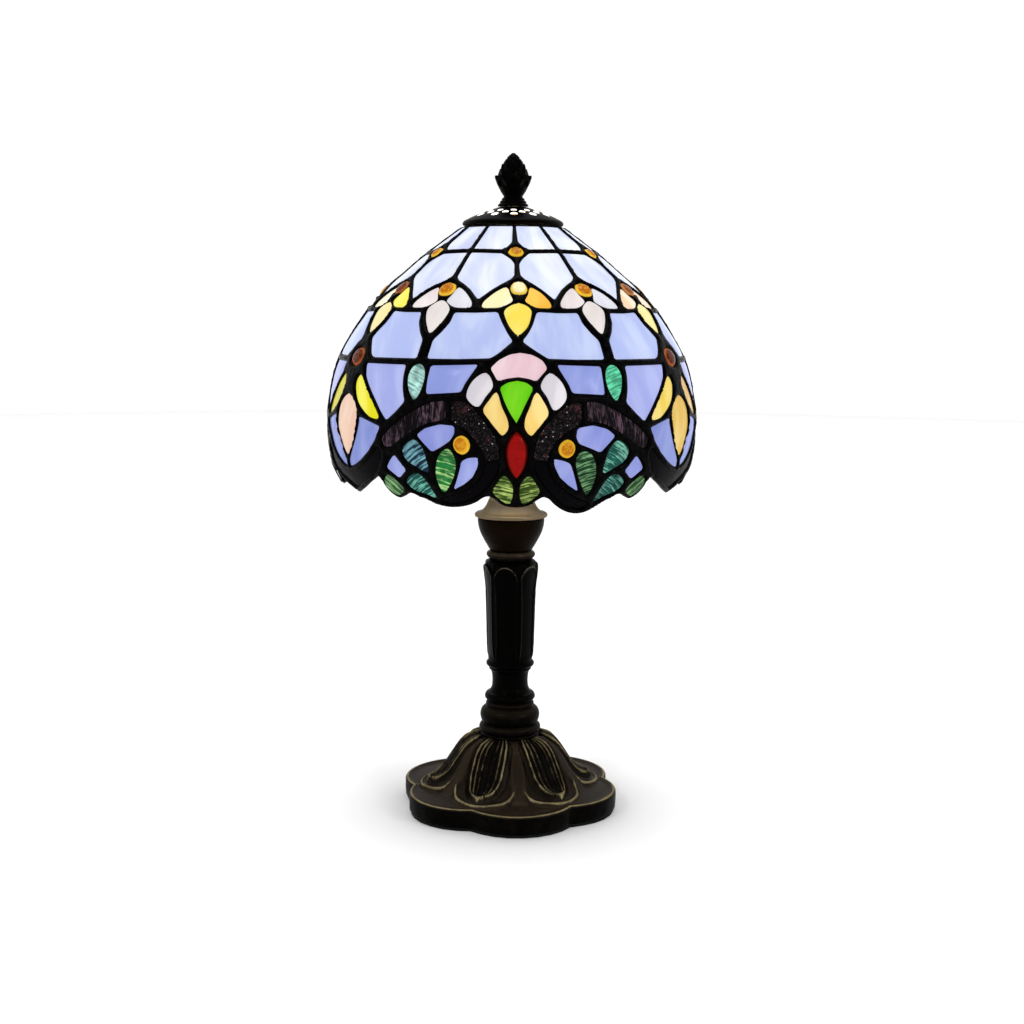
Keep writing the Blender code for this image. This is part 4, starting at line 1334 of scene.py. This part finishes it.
def build_stem():
    lathe("urn_knob", (
        (13.0, 59.9), (13.6, 59.2), (13.7, 58.2), (13.2, 57.4), (14.6, 56.8), (16.2, 55.2), (16.9, 52.6),
        (16.6, 50.2), (15.8, 48.2), (15.2, 47.3), (16.4, 46.9), (17.3, 45.9), (17.5, 44.6), (17.2, 43.4),
        (16.2, 42.4), (15.5, 41.8), (15.8, 41.2), (15.6, 40.6),
    ), ((BORE, 40.5), (BORE, 59.9)), BRONZE, wear=0.4, upper=0.4)
    lathe("stem_collar", (
        (11.8, 79.5), (11.9, 78.9), (11.1, 78.0), (10.4, 76.0), (10.1, 72.0), (10.5, 68.2), (11.6, 66.0),
        (12.0, 65.6), (13.4, 65.0), (14.2, 63.6), (14.2, 62.2), (13.4, 61.1), (12.9, 60.8), (13.1, 60.3),
    ), ((BORE, 60.2), (BORE, 79.5)), BLACK_BRONZE, wear=0.15)
    shaft = [(12.0, 141.8), (13.6, 141.0), (14.4, 139.8)]
    shaft += [(float(np.interp(z, (84.4, 92.0, 118.0, 133.6, 139.8), (12.5, 12.9, 13.6, 14.2, 14.4))), z)
              for z in np.linspace(138.9, 85.0, 64)]
    shaft += [(12.3, 84.2), (12.6, 83.7), (13.3, 83.0), (13.6, 82.1), (13.4, 81.2), (12.7, 80.6),
              (12.3, 80.2),
              (12.2, 79.8)]
    lathe("column", shaft, ((BORE, 79.8), (BORE, 84.0), (9.4, 88.0), (9.8, 132.0), (BORE, 137.0),
                            (BORE, 141.8)),
          BLACK_BRONZE, relief=column_relief, columns=240, steps=2, wear=0.1, upper=0.15)
    lathe("neck_ring", (
        (12.0, 146.6), (12.6, 146.4), (13.4, 145.7), (13.7, 144.7), (13.4, 143.7), (12.6, 142.8),
        (12.0, 142.1),
    ), ((BORE, 142.1), (BORE, 146.6)), RING_BRONZE_PAINTED_TOP_LIGHT, wear=0.2, upper=1.0)
    lathe("socket_cup", (
        (17.6, 165.7), (18.4, 165.5), (18.7, 164.6), (18.6, 162.4), (18.1, 159.8), (17.3, 157.2),
        (16.1, 154.6), (14.6, 151.8), (13.2, 149.4), (12.2, 147.8), (11.6, 146.9),
    ), ((BORE, 146.9), (BORE, 150.0), (10.4, 152.4), (14.4, 158.0), (16.4, 163.4), (16.6, 165.7)), CUP_BRONZE,
        wear=0.3)
    lathe("cup_cover", (
        (10.4, 177.5), (11.6, 176.9), (12.5, 175.8), (13.2, 174.2), (14.4, 171.8), (16.2, 169.7),
        (18.0, 168.7), (19.6, 168.3), (20.3, 167.7), (20.5, 166.9), (20.1, 166.2), (19.4, 166.0),
    ), ((18.6, 166.0), (16.6, 167.3), (13.6, 170.3), (11.8, 173.3), (10.4, 175.2), (BORE, 175.4),
        (BORE, 177.5)),
        COVER_BRONZE_PAINTED_BULB_LIGHT, wear=0.6, upper=1.0)


# ================================================================ finial and cap
CONE_ROWS = ((351.7, 2.4), (354.9, 1.5), (357.8, 1.35), (360.4, 1.15), (362.8, 0.9))
CONE_SCALES = 8


def cone_relief(turn, radius, level):
    """Overlapping pointed scales of a pine cone, in rows that are offset by half a scale."""
    if radius < 0.8 or level < 347.0 or level > 364.9:
        return 0.0, 0.0
    pitch = 360.0 / CONE_SCALES
    angle = math.degrees(turn)
    lift = wear = 0.0
    for row, (tip, height) in enumerate(CONE_ROWS):
        off = fold(angle - pitch / 2 * (row % 2), pitch) / (pitch / 2)
        below = tip + 1.5 - 3.4 * abs(off) ** 1.5 - level
        if 0.0 <= below < 5.0:
            here = (height - 0.36 * below) * (1.0 - 0.3 * off * off) + 0.22 * bell(off, 0.2)
            here *= 1.0 - step_up(below, 2.2, 5.0)
            if here > lift:
                lift = here
                wear = 0.45 * bell(below - 0.3, 0.5)
    return lift * min(radius / 4.0, 1.0), wear


def build_finial():
    """Pine cone on a slim neck with a stepped skirt."""
    outer = [(0.05, 365.3), (0.8, 365.1), (1.6, 364.4), (2.2, 363.5)]
    cone = ((347.0, 7.7), (348.4, 7.9), (350.0, 8.0), (352.0, 7.9), (354.2, 7.0), (357.2, 5.9),
            (359.8, 4.5), (362.4, 2.9))
    levels = [z for z, _ in cone]
    radii = [r for _, r in cone]
    for z in np.linspace(362.8, 347.2, 70):
        outer.append((float(np.interp(z, levels, radii)), float(z)))
    outer += [(7.9, 346.6), (7.5, 345.9), (7.2, 345.5), (7.0, 344.9), (6.3, 343.8), (5.6, 342.7),
              (5.1, 341.9),
              (5.5, 341.3), (6.3, 340.7), (6.2, 340.1), (6.9, 339.5), (7.3, 338.9), (7.2, 338.4),
              (8.0, 337.8),
              (8.4, 337.2), (8.3, 336.7)]
    lathe("finial", outer, ((4.5, 336.6), (4.5, 350.0), (0.05, 350.0)), BLACK_BRONZE, relief=cone_relief,
          columns=168, steps=2,
          wear=0.12, upper=0.25)


CAP_RINGS = ((14.4, 1.6, 0.0), (17.3, 1.8, 0.5), (20.4, 2.0, 0.0))
CAP_HOLES = 12
CAP_COLUMNS = 144
DRILL_HEIGHT = 330.0           # middle of the cutters of the vent holes
RIM_WIRE_RADIUS = 26.15        # solder wire under the cap
RIM_WIRE_HEIGHT = 325.98
RIM_WIRE_HALF = 0.52
# painted light: the inside of the cap glows white, standing in for the bulb's light seen through the vent
# holes
CAP_INSIDE_PAINTED_GLOW = plain_material("cap_inside_painted_glow", linear(246, 244, 240), linear(255, 255, 254), 0.4, 0.0,
                            300.0,
                            0.1, 0.15, 0.95)


def evaluated(obj):
    bpy.context.view_layer.update()
    return bpy.data.meshes.new_from_object(obj.evaluated_get(bpy.context.evaluated_depsgraph_get()))


def build_cap():
    verts, faces, _ = revolve(fine_outline((
        (3.5, 336.3), (6.0, 336.3), (8.6, 336.0), (9.6, 335.6), (12.0, 334.9), (17.5, 332.9), (22.8, 330.7),
        (24.6, 329.8), (25.6, 329.3), (26.9, 328.5), (27.6, 327.5), (27.5, 326.4),
    ), 6) + [(26.8, 326.1), (26.8, 327.3), (26.1, 328.0), (22.5, 330.15), (17.3, 332.35), (11.8, 334.35),
             (8.4, 335.4),
             (3.5, 335.6)], None, CAP_COLUMNS)
    cap = new_object("cap_pierced", verts, faces, [BLACK_BRONZE, CAP_INSIDE_PAINTED_GLOW], 40.0)
    rows = len(verts) // CAP_COLUMNS
    # rows inside the cap that get the painted glow
    inside_rows = range(rows - 6, rows - 1)      # the lip stays dark
    cap.data.polygons.foreach_set("material_index", [int(i % rows in inside_rows) for i in range(len(faces))])
    drill = bmesh.new()
    for radius, size, stagger in CAP_RINGS:
        for index in range(CAP_HOLES):
            turn = math.radians((index + stagger) * 360.0 / CAP_HOLES + SHADE_TURN)
            place = Vector((radius * math.sin(turn), -radius * math.cos(turn), DRILL_HEIGHT))
            middle = Matrix.Translation(place * MM)
            bmesh.ops.create_cone(drill, cap_ends=True, segments=20, radius1=size * MM, radius2=size * MM,
                                  depth=0.02, matrix=middle)
    # the walls of the vent holes get the painted glow too
    for face in drill.faces:
        face.material_index = 1
    mesh = bpy.data.meshes.new("drill")
    drill.to_mesh(mesh)
    drill.free()
    tool = bpy.data.objects.new("drill", mesh)
    add_to_scene(tool)
    cut = cap.modifiers.new("holes", "BOOLEAN")
    cut.operation = "DIFFERENCE"
    cut.object = tool
    pierced = evaluated(cap)
    cap.modifiers.clear()
    cap.data = pierced
    bpy.data.objects.remove(tool)
    cap.data.shade_smooth()
    cap.data.set_sharp_from_angle(angle=math.radians(40.0))
    add_finish(cap, None, 0.12)
    finish_piece(cap, "shade", "bronze", "heat_cap")
    wire = [(RIM_WIRE_RADIUS + RIM_WIRE_HALF * math.cos(t), RIM_WIRE_HEIGHT - RIM_WIRE_HALF * math.sin(t))
            for t in np.linspace(0.0, 2 * math.pi, 12, False)]
    verts, faces, _ = revolve(wire, None, CAP_COLUMNS)
    ring = new_object("crown_rim_wire", verts, faces, [LEAD], 60.0)
    crest = ring.data.attributes.new("crest", "FLOAT", "POINT")
    crest.data.foreach_set("value", np.full(len(verts), 0.2, np.float32))
    finish_piece(ring, "shade", "lead", "shade_lead_frame")


# ================================================================ inside the shade
def build_bulb():
    lathe("bulb_glass", (
        (0.05, 298.0), (5.0, 297.6), (9.5, 296.4), (17.6, 291.2), (22.6, 282.8), (24.0, 273.0), (22.6, 263.2),
        (17.8, 251.4), (13.6, 241.4), (11.9, 234.2), (11.8, 224.0), (11.8, 214.4),
    ), ((10.8, 214.4), (10.8, 234.4), (12.6, 241.8), (16.8, 251.8), (21.6, 263.6), (23.0, 273.0),
        (21.6, 282.4),
        (16.9, 290.4), (9.2, 295.4), (0.05, 297.0)))


def finish_cad_nodes():
    """Better materials on the CAD nodes that stay as they are."""
    for name, node in frame["nodes"].items():
        if node.hide_render:
            continue
        slot = slot_of(name)
        for index in range(len(node.material_slots)):
            node.material_slots[index].material = FINISHES[slot]


build_foot()
build_stem()
build_finial()
build_cap()
build_bulb()
finish_cad_nodes()


# ================================================================ stage
WALL_RADIUS = 3.2
WALL_HEIGHT = 2.0
SKY_FRONT = 0.12
SKY_BACK = 1.0
FLOOR_HALF = 6.0
FLOOR_WHITE = 0.92
BACKDROP_GLOW = 1.05
SUN_POWER = 1.7
SUN_SPREAD = 42.0              # degrees
CAMERA_LENS = 52.24            # millimetres, on a 36 mm sensor
CAMERA_DOWN = 7.97             # degrees below level
CAMERA_ROLL = 0.376
CAMERA_PLACE = (0.0005, -0.826, 0.284)


def build_floor():
    mesh = bpy.data.meshes.new("floor")
    size = FLOOR_HALF
    mesh.from_pydata([(-size, -size, 0.0), (size, -size, 0.0), (size, size, 0.0), (-size, size, 0.0)], [],
                     [(0, 1, 2, 3)])
    floor = bpy.data.objects.new("floor", mesh)
    add_to_scene(floor)
    n = Nodes("pale_floor")
    n.set(Roughness=0.9)
    n.shader.inputs["Base Color"].default_value = (FLOOR_WHITE, FLOOR_WHITE, FLOOR_WHITE, 1.0)
    n.shader.inputs["Specular IOR Level"].default_value = 0.0
    mesh.materials.append(n.mat)


def build_backdrop():
    """An evenly lit wall all round."""
    wall = bpy.data.meshes.new("cyclorama")
    bm = bmesh.new()
    bmesh.ops.create_cone(bm, cap_ends=False, segments=64, radius1=WALL_RADIUS, radius2=WALL_RADIUS,
                          depth=WALL_HEIGHT, matrix=Matrix.Translation((0.0, 0.0, WALL_HEIGHT / 2)))
    bm.to_mesh(wall)
    bm.free()
    backdrop = bpy.data.objects.new("cyclorama", wall)
    add_to_scene(backdrop)
    n = Nodes("lit_backdrop")
    n.shader.inputs["Base Color"].default_value = (0.0, 0.0, 0.0, 1.0)
    n.shader.inputs["Specular IOR Level"].default_value = 0.0
    n.shader.inputs["Emission Color"].default_value = (1.0, 1.0, 1.0, 1.0)
    n.shader.inputs["Emission Strength"].default_value = BACKDROP_GLOW
    wall.materials.append(n.mat)


def build_world():
    """Soft light that is stronger from behind than from the front."""
    world = bpy.data.worlds.new("studio")
    world.use_nodes = True
    world.node_tree.nodes["Background"].inputs["Color"].default_value = (1.0, 1.0, 1.0, 1.0)
    nodes, links = world.node_tree.nodes, world.node_tree.links
    where = nodes.new("ShaderNodeTexCoord")
    axes = nodes.new("ShaderNodeSeparateXYZ")
    level = nodes.new("ShaderNodeMapRange")
    for socket, value in (("From Min", -0.6), ("From Max", 0.6), ("To Min", SKY_FRONT), ("To Max", SKY_BACK)):
        level.inputs[socket].default_value = value
    links.new(where.outputs["Generated"], axes.inputs[0])
    links.new(axes.outputs["Y"], level.inputs["Value"])
    links.new(level.outputs["Result"], nodes["Background"].inputs["Strength"])
    bpy.context.scene.world = world


def build_overhead():
    sun = bpy.data.lights.new("overhead", "SUN")
    sun.energy = SUN_POWER
    sun.angle = math.radians(SUN_SPREAD)
    overhead = bpy.data.objects.new("overhead", sun)
    overhead.location = (0.0, 0.0, 2.0)
    add_to_scene(overhead)


def add_light(name, location, target, size, energy):
    light = bpy.data.lights.new(name, "AREA")
    light.shape = "RECTANGLE"
    light.size = size[0]
    light.size_y = size[1]
    light.energy = energy
    obj = bpy.data.objects.new(name, light)
    obj.location = location
    obj.rotation_euler = (Vector(target) - Vector(location)).to_track_quat("-Z", "Y").to_euler()
    add_to_scene(obj)
    return obj


def add_camera():
    camera = bpy.data.objects.new("camera", bpy.data.cameras.new("camera"))
    camera.data.lens = CAMERA_LENS
    camera.data.sensor_width = 36.0
    tilt = Matrix.Rotation(math.radians(90.0 - CAMERA_DOWN), 4, "X")
    turn = tilt @ Matrix.Rotation(math.radians(CAMERA_ROLL), 4, "Z")
    camera.matrix_world = Matrix.Translation(CAMERA_PLACE) @ turn
    add_to_scene(camera)
    bpy.context.scene.camera = camera


build_floor()
build_backdrop()
build_world()
build_overhead()
add_light("key", (-0.7, -0.9, 1.0), (0.0, 0.0, 0.2), (0.16, 0.16), 2.6)
add_light("fill", (0.9, -0.7, 0.6), (0.0, 0.0, 0.2), (0.10, 0.30), 2.5)
add_camera()
bpy.context.scene.view_settings.view_transform = "Standard"
